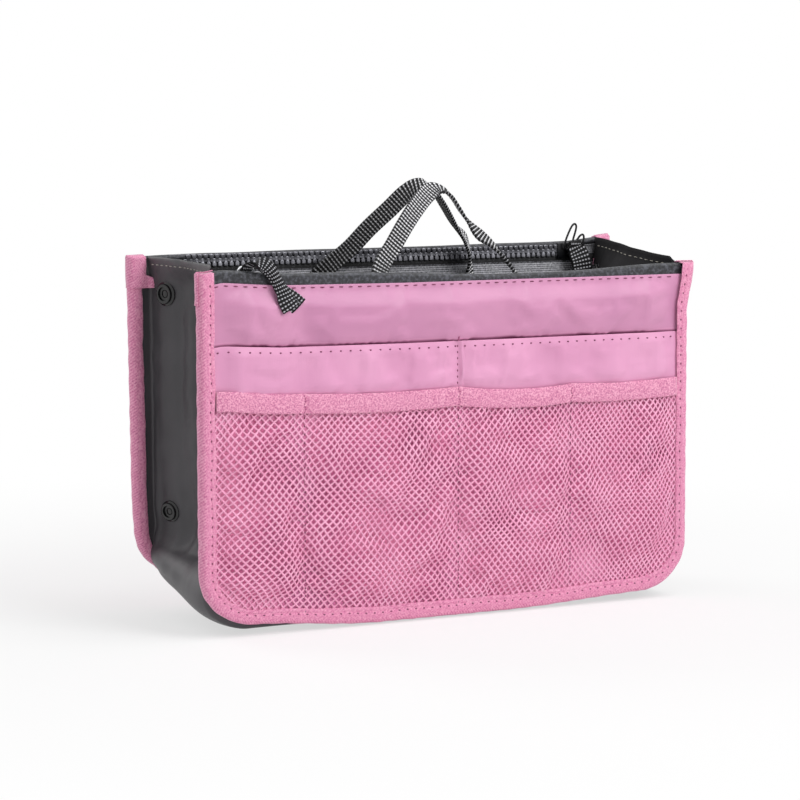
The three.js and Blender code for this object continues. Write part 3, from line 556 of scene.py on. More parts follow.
def lean(piece, zip_part=False, hem_part=False):
    points = points_of(piece) / MM
    x, y, z = points.T.copy()
    back = smooth((y + 44) / 88)
    up = np.clip(z / HEIGHT, 0, 1.1)
    low = np.clip(1 - z / 80, 0, 1) ** 2
    front = ZIP_SAG if zip_part else np.interp(x, *FRONT_SAG)
    rear = np.interp(x, *(ZIP_RISE if zip_part else REAR_RISE))
    curl = np.where(x < 0, LEFT_CURL * smooth((-x - 45) / 75), RIGHT_CURL * smooth((x - 30) / 95))
    rear_curl = np.where(x < 0, REAR_LEFT_CURL * smooth((-x - 20) / 105), curl)
    points[:, 2] += (front + (rear - front) * back) * up ** 1.3 + (curl + (rear_curl - curl) * back) * low
    if zip_part or hem_part:
        dip = HEM_DIP * np.exp(-(((x - DIP_MIDDLE) / DIP_SPREAD) ** 2))
        points[:, 2] -= dip * smooth((z - HEM_LOW) / 10) * (1 - back)
    flare = CORNER_FLARE * smooth((z - 154) / 28) * smooth((x - 115) / 29)
    shift = LOW_SHIFT * (1 - up) + flare + RIGHT_SHIFT * smooth((x - 60) / 84)
    rear_left = np.interp(z, *REAR_LEFT_SHIFT) * smooth((-x - 60) / 84)
    points[:, 0] += shift * (1 - back) + rear_left * back
    move_points(piece, points * MM)


def fit(piece, body, slot, *nodes, **part):
    """Leans a piece with the rest, and lets it ride on its body for the nodes that it replaces."""
    lean(piece, **part)
    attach(piece, body)
    if nodes:
        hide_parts(*nodes)
    return piece


def fit_pair(piece, rear_name, slot, *nodes, **part):
    """Fits a front piece and its half-turned copy, each for its own side's nodes."""
    twin = rear_copy(piece, rear_name)
    fit(piece, "front_side", slot, *["front_" + node for node in nodes], **part)
    fit(twin, "rear_side", slot, *["rear_" + node for node in nodes], **part)
    return piece, twin


print("the hem dips by", HEM_DIP, "mm, the rear left corner curls up by", REAR_LEFT_CURL, "mm")

# %% [markdown]
# ### Letting cloth settle
# Sewn cloth is held along its seams and puckers between them. That is hard to draw and easy to simulate:
# the points on a seam are pinned, the cloth is given a little more length than its seams leave it, and
# the cloth solver finds the wrinkles. How far a point may move is then limited, so that no layer passes
# through the next one.

# %% Cloth simulation
SETTLE_FRAMES = 16
INWARD_LIMIT, SIDEWAYS_LIMIT = 0.15, 0.6


def settle(piece, held, slack, push, most):
    """Lets a sheet pucker between held points. slack is the spare length, most the limit outward in mm."""
    before = points_of(piece).copy()
    sewn = piece.vertex_groups.new(name="sewn")
    sewn.add([int(i) for i in np.flatnonzero(held)], 1.0, "REPLACE")
    only(piece)
    cloth = piece.modifiers.new("Cloth", "CLOTH")
    cloth.settings.vertex_group_mass = "sewn"
    cloth.settings.shrink_min = -slack
    cloth.settings.bending_stiffness = 0.05
    cloth.settings.mass = 0.15
    cloth.settings.quality = 6
    cloth.settings.use_pressure = True
    cloth.settings.uniform_pressure_force = push
    cloth.settings.effector_weights.gravity = 0.15
    cloth.collision_settings.use_collision = False
    cloth.point_cache.frame_start = 1
    cloth.point_cache.frame_end = SETTLE_FRAMES
    for step in range(1, SETTLE_FRAMES + 1):
        scene.frame_set(step)
    bpy.ops.object.modifier_apply(modifier=cloth.name)
    scene.frame_set(1)
    moved = points_of(piece) - before
    moved[:, 1] = np.clip(moved[:, 1], -most * MM, INWARD_LIMIT * MM)
    moved[:, (0, 2)] = np.clip(moved[:, (0, 2)], -SIDEWAYS_LIMIT * MM, SIDEWAYS_LIMIT * MM)
    move_points(piece, before + moved)
    piece.vertex_groups.clear()
    print(piece.name, "moved out by up to", round(float(-moved[:, 1].min() / MM), 2), "mm")


print("cloth settles for", SETTLE_FRAMES, "frames, unless a quick view is asked for")

# %% [markdown]
# ## Base panel with its hem
# The charcoal cloth behind all pockets folds over the top edge, and that fold is the dark hem. A flat
# plate with a bevel would look stiff, so the cloth runs up, rolls over a soft edge and goes down again
# on the inside.

# %% Base panel
def rolled_edge(low, top, outward, inward, rows, roll_rows, tail):
    """Rows of a sheet that runs up its outer face, rolls over and ends lower on its inner face."""
    radius = (outward - inward) / 2
    straight = np.linspace(low, top - radius, rows - roll_rows)
    turn = np.linspace(0, math.pi, roll_rows + 1)[1:]
    levels = np.concatenate([straight, top - radius + radius * np.sin(turn), [top - radius - tail]])
    outs = np.concatenate([
        np.full(len(straight), outward), (outward + inward) / 2 + radius * np.cos(turn), [inward],
    ])
    return levels, outs


PANEL_ROWS, PANEL_ROLL_ROWS, PANEL_TAIL = 40, 12, 1.2
PANEL_OUT, PANEL_IN, PANEL_CLOTH = 40.5, 37.25, 0.45
panel_levels, panel_outs = rolled_edge(
    BOTTOM, HEIGHT, PANEL_OUT, PANEL_IN, PANEL_ROWS, PANEL_ROLL_ROWS, PANEL_TAIL,
)


def place_panel(u, w):
    row = np.rint(w * PANEL_ROWS).astype(int)
    z = panel_levels[row]
    x = (2 * u - 1) * half_width(z)
    hem = smooth((z - HEM_LOW) / 12)
    out = panel_outs[row] + hem * 0.22 * ripple(x, z, 22, 3)
    return x, -out, z + hem * 0.3 * ripple(x, z, 60, 4)


panel = lay_cloth("front_base_panel_cloth", 150, PANEL_ROWS, place_panel, (0.286, 0.19))
thicken(panel, PANEL_CLOTH)
panel.data.materials.append(hem_nylon)
panels = fit_pair(panel, "rear_base_panel_cloth", "hem_nylon", "base_panel", hem_part=True)
print("base panels:", [len(p.data.polygons) for p in panels])

# %% [markdown]
# ## Cover pocket and slip pocket
# Two pink cloths lie over the panel. The tall one is sewn down along its top, and the lower one is an
# open pocket with a seam in the middle. Each has a rolled top edge. A gentle swell is laid first, and
# the simulation then adds the puckers that hang from the stitches.

# %% Pocket cloths
POCKET_COLUMNS, POCKET_ROWS = 132, 84
POCKET_ROLL, POCKET_ROLL_ROWS, POCKET_TAIL = 0.9, 6, 2.0
COVER_TOP, COVER_OUT, COVER_CROWN = 176, 41.5, 4.6
SLIP_TOP, SLIP_OUT, SLIP_SWELL, SLIP_GAPE = 145, 42.5, 1.4, 1.3
SLIP_CREASE, SLIP_CROWD = 1.6, 0.65
POCKET_CLOTH = 0.3
NET_COVERS = 113
BINDING_EDGE = 135.4
MIDDLE_SEAM = 0.8


def between(z, low, high):
    return np.sin(math.pi * np.clip((z - low) / (high - low), 0, 1))


def place_pocket(top, outward, swell, crowd=0.0):
    """Lays a pocket cloth. crowd draws the columns to the middle seam, where a fine crease needs them."""
    inward = outward - POCKET_ROLL
    levels, outs = rolled_edge(BOTTOM, top, outward, inward, POCKET_ROWS, POCKET_ROLL_ROWS, POCKET_TAIL)

    def place(u, w):
        row = np.rint(w * POCKET_ROWS).astype(int)
        z = levels[row]
        v = 2 * u - 1
        x = (v - crowd * np.sin(math.pi * v) / math.pi) * half_width(z)
        out = outs[row] + swell(x, z)
        return x, -out, z

    return place


def swell_cover(x, z):
    free = smooth((BINDING_EDGE - np.abs(x)) / 20)
    creases = 0.4 * ripple(x, z * 0.35, 30, 11) * between(z, SLIP_TOP, 174)
    crown = smooth((173.5 - z) / 9) * np.clip((z - SLIP_TOP + 2) / 24, 0, 1) ** 0.8
    return free * (COVER_CROWN * crown + creases)


def swell_slip(x, z):
    free = smooth((BINDING_EDGE - np.abs(x)) / 14) * smooth(np.abs(x - MIDDLE_SEAM) / 9)
    creases = 0.3 * ripple(x, z * 0.5, 26, 12) * between(z, 117, SLIP_TOP + 6)
    gape = SLIP_GAPE * smooth((z - 130) / 14)
    crease = SLIP_CREASE * np.exp(-(((x - MIDDLE_SEAM - 1.7) / 0.75) ** 2))
    crease = crease * between(z, NET_COVERS, SLIP_TOP + 20)
    return free * (SLIP_SWELL * between(z, NET_COVERS, SLIP_TOP + 4) + gape + creases) + crease


place_cover = place_pocket(COVER_TOP, COVER_OUT, swell_cover)
cover = lay_cloth("front_cover_pocket_cloth", POCKET_COLUMNS, POCKET_ROWS, place_cover, (0.286, 0.18))
cover_x, _, cover_z = points_of(cover).T / MM
sewn_cover = (cover_z < SLIP_TOP) | (cover_z > COVER_TOP - 3.2) | (np.abs(cover_x) > BINDING_EDGE)
settle(cover, sewn_cover, slack=0.03, push=0.25, most=1.6)

place_slip = place_pocket(SLIP_TOP, SLIP_OUT, swell_slip, SLIP_CROWD)
slip = lay_cloth("front_slip_pocket_cloth", POCKET_COLUMNS, POCKET_ROWS, place_slip, (0.286, 0.147))
slip_x, _, slip_z = points_of(slip).T / MM
seamed = (np.abs(slip_x - MIDDLE_SEAM) < 1.6) | (np.abs(slip_x) > BINDING_EDGE)
sewn_slip = (slip_z < 122) | (slip_z > SLIP_TOP - 2.6) | seamed
settle(slip, sewn_slip, slack=0.03, push=0.15, most=1.2)
print("pocket cloths:", cover.name, slip.name)

# %% [markdown]
# ## Mesh pocket
# The net is a real net: a grid that is turned by 45 degrees has diamond cells, and the Wireframe
# modifier turns its edges into strands. A picture of a net with see-through holes would be lighter, but
# it has no shadow of its own. The net first hangs as a plain sheet, so that the solver can billow it
# between its seams, and the diamonds then take their places from that sheet.

# %% The sheet that the net follows
NET_SEAMS = (-87.5, MIDDLE_SEAM, 68.5)
NET_HALF, NET_LOW, NET_HIGH = 137.0, 2.5, 117.0
NET_OUT, NET_BILLOW, NET_DENT = 43.0, 1.2, -0.2
FORM_COLUMNS, FORM_ROWS = 100, 42


def from_seam(x):
    """Distance to the nearest seam or binding edge."""
    lines = (-BINDING_EDGE, *NET_SEAMS, BINDING_EDGE)
    return np.min([np.abs(x - line) for line in lines], axis=0)


def place_net_form(u, w):
    x, z = (2 * u - 1) * NET_HALF, NET_LOW + (NET_HIGH - NET_LOW) * w
    loose = smooth(from_seam(x) / 16) * smooth((z - 8) / 26) * smooth((112 - z) / 16)
    billow = loose * (NET_BILLOW + ripple(x, z, 46, 21) + 0.5 * ripple(x, z, 19, 22))
    return x, -(NET_OUT + np.maximum(billow, NET_DENT)), z


def grid_place(x, z):
    """Column and row of the sheet's grid at a point of the flat net."""
    return (x / NET_HALF + 1) / 2 * FORM_COLUMNS, (z - NET_LOW) / (NET_HIGH - NET_LOW) * FORM_ROWS


form = lay_cloth("net_form", FORM_COLUMNS, FORM_ROWS, place_net_form, (0.27, 0.114))
form_x, _, form_z = points_of(form).copy().T / MM
sewn_form = (from_seam(form_x) < 1.4) | (np.abs(form_x) > BINDING_EDGE) | (form_z < 8) | (form_z > 110)
settle(form, sewn_form, slack=0.05, push=0.2, most=2.2)
form_column, form_row = (np.rint(n).astype(int) for n in grid_place(form_x, form_z))
hung = np.empty((FORM_ROWS + 1, FORM_COLUMNS + 1, 3))
hung[form_row, form_column] = points_of(form) / MM
only(form)
bpy.ops.object.delete()


def on_form(x, z):
    """The place on the hung sheet of a point of the flat net."""
    column, row = grid_place(x, z)
    column, row = np.clip(column, 0, FORM_COLUMNS - 1e-6), np.clip(row, 0, FORM_ROWS - 1e-6)
    c, r = column.astype(int), row.astype(int)
    a, b = (column - c)[:, None], (row - r)[:, None]
    low = hung[r, c] * (1 - a) + hung[r, c + 1] * a
    high = hung[r + 1, c] * (1 - a) + hung[r + 1, c + 1] * a
    return low * (1 - b) + high * b


print("sheet for the net:", FORM_COLUMNS, "by", FORM_ROWS, "cells")

# %% Diamond net
CELL_ACROSS, CELL_UP = 3.7, 4.15
NET_SLANT, NET_STRETCH = 0.13, -0.00045
LATTICE = 112
STRAND, STRAND_FLAT = 1.6, 0.36
DRIFT_ACROSS, DRIFT_UP = 1.5, 1.2


def flat_net(net):
    """Where the net's knots lie before it is hung: a little slanted, and stretched more on the left."""
    lattice = points_of(net)
    x, up = lattice[:, 0] * CELL_ACROSS, lattice[:, 1] * CELL_UP
    return x + NET_STRETCH * x ** 2 + NET_SLANT * up, (NET_LOW + NET_HIGH) / 2 + up


net = primitive(
    "front_mesh_pocket_net", bpy.ops.mesh.primitive_grid_add,
    x_subdivisions=LATTICE, y_subdivisions=LATTICE, size=LATTICE / math.sqrt(2),
)
bpy.ops.transform.rotate(value=math.pi / 4, orient_axis="Z", center_override=(0, 0, 0))
bpy.ops.object.transform_apply(location=True, rotation=True, scale=True)
whole_x, whole_z = flat_net(net)
select_points(net, (np.abs(whole_x) > half_width(whole_z, 3)) | (whole_z < 3.2) | (whole_z > 115))
with edit_mode():
    bpy.ops.mesh.delete(type="VERT")
net_x, net_z = flat_net(net)
loose_knots = smooth((HALF_LENGTH - 4 - np.abs(net_x)) / 10) * smooth(from_seam(net_x) / 12)
drift_x = DRIFT_ACROSS * loose_knots * ripple(net_x, net_z, 44, 31)
drift_z = DRIFT_UP * loose_knots * smooth((net_z - 3) / 14) * ripple(net_x, net_z, 44, 32)
move_points(net, on_form(net_x + drift_x, net_z + drift_z) * MM)
apply_modifier(net, "WIREFRAME", thickness=STRAND * MM, use_even_offset=False)
strands = points_of(net) / MM
sheet_y = on_form(strands[:, 0], strands[:, 2])[:, 1]
strands[:, 1] = sheet_y + (strands[:, 1] - sheet_y) * STRAND_FLAT
move_points(net, strands * MM)
bpy.ops.object.shade_smooth()
print("net:", len(net.data.polygons), "faces")

# %% [markdown]
# ## Elastic band
# A soft pink band edges the net. It is tight, so it stands highest at the seams and sags between them.
# Its lower edge is cut through the net's holes, which leaves a row of small teeth.

# %% Elastic
BAND_HEIGHT, BAND_HALF = 10.4, 136
BAND_OUT, BAND_CLOTH = 43.4, 0.8
BAND_LINES = np.array([-BINDING_EDGE - 3, *NET_SEAMS, BINDING_EDGE + 3])
BAND_TOPS = np.array([123.7, 121.3, 121.3, 119.8, 120.5])
BAND_SAGS = np.array([0.6, 1.3, 2.2, 1.1])


def band_top(x):
    bay = np.clip(np.searchsorted(BAND_LINES, x) - 1, 0, len(BAND_SAGS) - 1)
    share = np.clip((x - BAND_LINES[bay]) / (BAND_LINES[bay + 1] - BAND_LINES[bay]), 0, 1)
    return np.interp(x, BAND_LINES, BAND_TOPS) - BAND_SAGS[bay] * np.sin(math.pi * share) ** 0.8


def place_band(u, w):
    x = (2 * u - 1) * BAND_HALF
    scallop = 0.4 * np.abs(np.sin(math.pi * x / CELL_ACROSS)) * (1 - smooth(w / 0.3))
    z = band_top(x) - BAND_HEIGHT * (1 - w) + scallop + 0.12 * ripple(x, w * 8, 20, 41)
    pinch = smooth(from_seam(x) / 5)
    crown = np.sin(math.pi * np.clip(w, 0.02, 0.98)) ** 0.5
    waver = 0.9 + 0.25 * ripple(x, z, 30, 42)
    return x, -(BAND_OUT + (0.35 + 0.4 * pinch) * crown + (0.7 + 0.3 * pinch) * waver), z


band = lay_cloth("front_mesh_elastic_band", 270, 14, place_band, (0.272, 0.0104))
thicken(band, BAND_CLOTH)
print("elastic band:", len(band.data.polygons), "faces")

# %% [markdown]
# ## Edge binding
# A twill tape is folded over the edges of all layers, down one side, round the corners, along the bottom
# and up again. A curve with a profile could carry it, but the tape is wider below than on the sides and
# its edge wavers, so its points are laid along the edge by a function. At the top each end of the tape
# is tucked in over the inner leg.

# %% Binding
SIDE_RUN = HEIGHT - CORNER
ARC_RUN = CORNER * math.pi / 2
BASE_RUN = 2 * (HALF_LENGTH - CORNER)
EDGE_RUN = 2 * SIDE_RUN + 2 * ARC_RUN + BASE_RUN
BINDING_MIDDLE, BINDING_REACH, BASE_TUCK_IN = 39.8, 4.05, 1.6
BINDING_FOLD, BINDING_ENDS = 2.6, 2.0
OUTER_LEG, WIDER_BELOW, INNER_LEG = 7.6, 1.2, 6.4
STITCH_INSET, STITCH_GROOVE = 2.4, 0.42
TUCK_LONG, TUCK_LEG, TUCK_FLARE, TUCK_LOOSE, TUCK_LIFT = 17.6, 9.2, 3.6, 1.6, 0.6
BINDING_CLOTH, TUCK_CLOTH = 0.6, 0.5


def edge_path(s):
    """Point of the side's outer edge at a distance along it, and the way inward, as x, z, across, up."""
    turn_1 = np.clip((s - SIDE_RUN) / CORNER, 0, math.pi / 2)
    turn_2 = np.clip((s - SIDE_RUN - ARC_RUN - BASE_RUN) / CORNER, 0, math.pi / 2)
    along = np.clip(s - SIDE_RUN - ARC_RUN, 0, BASE_RUN)
    rise = np.maximum(s - SIDE_RUN - 2 * ARC_RUN - BASE_RUN, 0)
    left = s < SIDE_RUN + ARC_RUN + BASE_RUN / 2
    turn = np.where(left, turn_1, math.pi / 2 - turn_2)
    across, up = np.cos(turn) * np.where(left, 1, -1), np.sin(turn)
    x = CORNER - HALF_LENGTH + along - CORNER * across
    z = np.where(left, HEIGHT - np.minimum(s, SIDE_RUN), CORNER + rise)
    z = np.where((s > SIDE_RUN) & (rise <= 0), CORNER - CORNER * up, z)
    return x, z, across, up


def binding_width(s):
    _, _, _, up = edge_path(s)
    return OUTER_LEG + WIDER_BELOW * smooth(up) + 0.3 * ripple(s, s * 0, 30, 51)


def fold_tape(s, w, inner_leg, lift=0.0):
    """A folded tape along the edge. w runs from the inner leg's edge over the fold to the outer leg's."""
    x, z, across, up = edge_path(np.clip(s, 0, EDGE_RUN))
    outer = w > 0.5
    wide = np.where(outer, binding_width(s), inner_leg)
    leg = np.clip((np.abs(w - 0.5) - 0.1) / 0.4, 0, 1)
    bend = np.clip((w - 0.5) / 0.1, -1, 1) * math.pi / 2
    inset = np.where(leg > 0, BINDING_FOLD + leg * (wide - BINDING_FOLD), BINDING_FOLD * (1 - np.cos(bend)))
    reach = BINDING_REACH - np.where(outer, 0, BASE_TUCK_IN * smooth(up)) + lift
    out = reach * np.sin(bend)
    crown = np.sin(math.pi * leg) * 0.3 - 0.3 * leg ** 3
    groove = STITCH_GROOVE * np.exp(-(((inset - wide + STITCH_INSET) / 0.7) ** 2))
    out += np.where(outer, crown - groove, -crown) * (leg > 0)
    out += 0.16 * ripple(s, inset, 6, 52)
    inset = inset + 0.2 * ripple(s, inset, 9, 53) - lift
    closed = smooth(np.maximum(-s, s - EDGE_RUN) / BINDING_ENDS)
    out = BINDING_MIDDLE + out * (1 - 0.93 * closed)
    return x + across * inset, -out, z + up * (inset + 0.7) + 0.5 * closed + lift * closed


def place_binding(u, w):
    s = u * (EDGE_RUN + 2 * BINDING_ENDS) - BINDING_ENDS
    return fold_tape(s, w, INNER_LEG + 0.3 * ripple(s, s * 0, 24, 54))


def place_tuck(hand):
    """The end of the tape, folded in over the inner leg, with a loose corner. hand is -1 at the left."""

    def place(u, w):
        from_end = TUCK_LONG * (u if hand < 0 else 1 - u) - BINDING_ENDS
        s = from_end if hand < 0 else EDGE_RUN - from_end
        corner = smooth((from_end - 9) / 1.5)
        x, y, z = fold_tape(s, w * 0.52, TUCK_LEG + TUCK_FLARE * corner, TUCK_LIFT)
        return x, y + TUCK_LOOSE * corner * smooth((0.25 - w) / 0.25), z

    return place


binding = lay_cloth("front_edge_binding_tape", 330, 44, place_binding, (0.63, 0.03))
thicken(binding, BINDING_CLOTH)
tucks = [lay_cloth("tuck", 24, 20, place_tuck(hand), (0.021, 0.014)) for hand in (-1, 1)]
for tuck in tucks:
    thicken(tuck, TUCK_CLOTH)
print("binding:", round(EDGE_RUN), "mm along the edge")

# %% [markdown]
# ## Stitches
# A machine stitch shows as a row of small dark dashes that sink into the cloth. One bead is modelled,
# the Array modifier repeats it along a curve and the Curve modifier bends the row, so a row follows any
# seam. The row's line is found by looking straight at the finished cloth and taking the points that are
# hit.

# %% Stitch rows
def surface_line(piece, x, z, lift):
    """Points of a cloth straight behind the given places, seen from the front, lifted towards the eye."""
    line = []
    for px, pz in zip(x, z):
        hit, place, _, _ = piece.ray_cast((px * MM, -0.08, pz * MM), (0, 1, 0))
        if hit:
            line.append(place + Vector((0, -lift * MM, 0)))
    return line


def poly_line(name, points, closed=False):
    """A curve of straight stretches through points in metres."""
    curve = bpy.data.curves.new(name, "CURVE")
    curve.dimensions = "3D"
    spline = curve.splines.new("POLY")
    spline.points.add(len(points) - 1)
    spline.use_cyclic_u = closed
    for knot, place in zip(spline.points, points):
        knot.co = (*place, 1)
    line = bpy.data.objects.new(name, curve)
    scene.collection.objects.link(line)
    return line


def stitch_row(name, line, pitch, long, wide, finish):
    guide = poly_line(name + "_line", line)
    row = primitive(name, bpy.ops.mesh.primitive_uv_sphere_add, segments=6, ring_count=4, radius=0.5)
    with edit_mode():
        bpy.ops.transform.rotate(value=math.pi / 2, orient_axis="Y", center_override=(0, 0, 0))
        bpy.ops.transform.resize(value=(long * MM, wide * MM, wide * MM), center_override=(0, 0, 0))
    apply_modifier(
        row, "ARRAY", fit_type="FIT_CURVE", curve=guide, use_relative_offset=False,
        use_constant_offset=True, constant_offset_displace=(pitch * MM, 0, 0),
    )
    apply_modifier(row, "CURVE", object=guide, deform_axis="POS_X")
    bpy.ops.object.shade_smooth()
    row.data.materials.append(finish)
    bpy.data.objects.remove(guide)
    return row


def join(name, *pieces):
    only(*pieces)
    if len(pieces) > 1:
        bpy.ops.object.join()
    whole = bpy.context.active_object
    whole.name = whole.data.name = name
    return whole


def seam_line(piece, levels, lift):
    """A line straight up the middle seam."""
    return surface_line(piece, np.full_like(levels, MIDDLE_SEAM), levels, lift)


span = np.linspace(-134.5, 134.5, 136)
run = np.linspace(6, EDGE_RUN - 6, 300)
edge_x, edge_z, inward_x, inward_z = edge_path(run)
row_inset = binding_width(run) - STITCH_INSET
binding_line = surface_line(binding, edge_x + inward_x * row_inset, edge_z + inward_z * row_inset, 0.02)
cover_line = surface_line(cover, span, np.full_like(span, COVER_TOP - 1.4), 0.02)
slip_line = surface_line(slip, span, np.full_like(span, SLIP_TOP - 2.8), 0.02)
seam_levels = np.minimum(np.linspace(123, 149, 14), SLIP_TOP - 0.6)
tack_levels = np.linspace(SLIP_TOP + 0.6, SLIP_TOP + 2.6, 6)
rows = [
    stitch_row("binding_row", binding_line, 4.8, 1.2, 0.8, pink_thread),
    stitch_row("cover_row", cover_line, 5.3, 2.6, 0.7, pink_thread),
    stitch_row("slip_row", slip_line, 5.6, 1.2, 0.9, pink_thread),
    stitch_row("seam_row", seam_line(slip, seam_levels, 0.05)[:12], 3.2, 1.3, 0.6, pink_thread),
    stitch_row("tack_row", seam_line(cover, tack_levels, 0.2), 1.3, 1.4, 1.0, rose_thread),
]
for seam in NET_SEAMS:
    net_line = [Vector((seam, -NET_OUT - 0.6, level)) * MM for level in np.linspace(8, 109, 60)]
    rows.append(stitch_row("net_row", net_line, 4.2, 1.3, 0.6, pink_thread))
    on_band = float(band_top(np.array([seam]))[0]) - np.linspace(9.4, 1.2, 12)
    band_line = surface_line(band, seam + 0.5 * np.sin(on_band * 1.4), on_band, 0.02)
    rows.append(stitch_row("band_tack", band_line, 1.5, 1.2, 0.7, rose_thread))
stitches = join("front_pocket_stitches", *rows)
print("stitches:", len(stitches.data.polygons), "faces")

# %% Fit the pink layers
cover.data.materials.append(pink_nylon)
slip.data.materials.append(slip_nylon)
net.data.materials.append(pink_net)
band.data.materials.append(pink_loops)
binding = join("front_edge_binding_tape", binding, *tucks)
binding.data.materials.append(pink_tape)
for pocket in (cover, slip):
    thicken(pocket, POCKET_CLOTH)
covers = fit_pair(cover, "rear_cover_pocket_cloth", "pink_nylon", "cover_pocket")
slips = fit_pair(slip, "rear_slip_pocket_cloth", "pink_nylon", "slip_pocket")
nets = fit_pair(net, "rear_mesh_pocket_net", "pink_mesh", "mesh_pocket")
bands = fit_pair(band, "rear_mesh_elastic_band", "pink_tape", "mesh_elastic")
bindings = fit_pair(binding, "rear_edge_binding_tape", "pink_tape", "edge_binding")
fit_pair(stitches, "rear_pocket_stitches", "pink_tape")
print("pink layers are fitted")

# %% [markdown]
# ## Padding and lining
# Between panel and lining lies a thin foam sheet, which gives the side its stand. It can't be seen, but
# it is part of the product, so it is there. The lining is charcoal cloth with slow waves, because
# nothing pulls it tight.

# %% Padding and lining
PADDING_OUT, PADDING_INSET, PADDING_TOP, FOAM_THICKNESS = 39.0, 8, 168, 1.3
LINING_OUT, LINING_TOP, LINING_CLOTH = 37.35, 162.6, 0.35


def place_padding(u, w):
    z = PADDING_INSET + (PADDING_TOP - PADDING_INSET) * w
    x = (2 * u - 1) * half_width(z, PADDING_INSET)
    soft = smooth(np.minimum(u, 1 - u) / 0.03) * smooth(np.minimum(w, 1 - w) / 0.04)
    return x, -(PADDING_OUT + 0.5 * soft), z


padding = lay_cloth("front_padding_foam", 40, 26, place_padding, (0.27, 0.16))
thicken(padding, FOAM_THICKNESS)
padding.data.materials.append(foam)
for piece in fit_pair(padding, "rear_padding_foam", "foam", "padding"):
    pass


def place_lining(u, w):
    z = BOTTOM + (LINING_TOP + 1 - BOTTOM) * w
    x = (1 - 2 * u) * half_width(z)
    loose = smooth((126 - np.abs(x)) / 20) * smooth((z - 14) / 20) * smooth((152 - z) / 16)
    return x, -(LINING_OUT - loose * (0.7 + 0.6 * ripple(x, z, 50, 61))), z


lining = lay_cloth("front_lining_cloth", 100, 60, place_lining, (0.286, 0.162))
thicken(lining, LINING_CLOTH)
lining.data.materials.append(charcoal_nylon)
for side, piece in zip(SIDES, fit_pair(lining, "rear_lining_cloth", "charcoal_nylon", "lining")):
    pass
print("lining:", len(lining.data.polygons), "faces")

# %% [markdown]
# ## Zip
# The zip runs along the inner face, just under the hem. Its lower tape shows for a finger's width, and
# its upper tape is folded into the hem. The teeth are moulded blocks with a narrow head. The heads of
# one row fill the gaps of the other, so both rows share one pitch and stand half a pitch apart.

# %% Zip tapes
ZIP_HEIGHT = 176.6
TAPE_OUT, TAPE_HALF, TAPE_CLOTH = 37.3, HALF_LENGTH - 1.2, 0.4
LOWER_TAPE = (LINING_TOP + 0.2, 173.5)
UPPER_TAPE_LOW, UPPER_TAPE_DOWN = 178.6, 7.6


def place_lower_tape(u, w):
    z = LOWER_TAPE[0] + (LOWER_TAPE[1] - LOWER_TAPE[0]) * w
    x = (1 - 2 * u) * TAPE_HALF
    return x, -(TAPE_OUT - 0.12 - 0.12 * ripple(x, z, 16, 71)), z


def place_upper_tape(u, w):
    x = (1 - 2 * u) * TAPE_HALF
    over = np.clip((w - 0.12) / 0.14, 0, 1) * math.pi
    down = np.clip((w - 0.26) / 0.74, 0, 1) * UPPER_TAPE_DOWN
    z = UPPER_TAPE_LOW + np.clip(w / 0.12, 0, 1) * 0.9 + 0.45 * np.sin(over) - down
    return x, -(TAPE_OUT + 0.55 + 0.45 * (1 - np.cos(over))), z


tapes = {
    "zip_tape_lower": lay_cloth("front_zip_tape_lower_cloth", 120, 8, place_lower_tape, (0.286, 0.0107)),
    "zip_tape_upper": lay_cloth("front_zip_tape_upper_cloth", 60, 18, place_upper_tape, (0.286, 0.0102)),
}
for node, tape in tapes.items():
    thicken(tape, TAPE_CLOTH)
    tape.data.materials.append(zip_cloth)
    both_tapes = fit_pair(tape, f"rear_{node}_cloth", "zip_tape", node, zip_part=True)
print("zip tapes:", list(tapes))

# %% Zip teeth
TOOTH_PITCH, TOOTH_COUNT = 3.2, 72
TOOTH_FOOT, FOOT_LEVEL = (2.3, 2.3, 1.7), -2.2
CHAIN_START, CHAIN_OUT = -115.38, 37.2
SMOOTH_ANGLE = math.radians(35)


def select_top(piece):
    """Selects the faces that point up, for the next edit-mode operator."""
    bpy.ops.object.mode_set(mode="OBJECT")
    for part in (piece.data.vertices, piece.data.edges, piece.data.polygons):
        part.foreach_set("select", np.zeros(len(part), bool))
    for face in piece.data.polygons:
        face.select = face.normal.z > 0.9
    bpy.ops.object.mode_set(mode="EDIT")


def extrude_up(height):
    bpy.ops.mesh.extrude_region_move(TRANSFORM_OT_translate={"value": (0, 0, height * MM)})


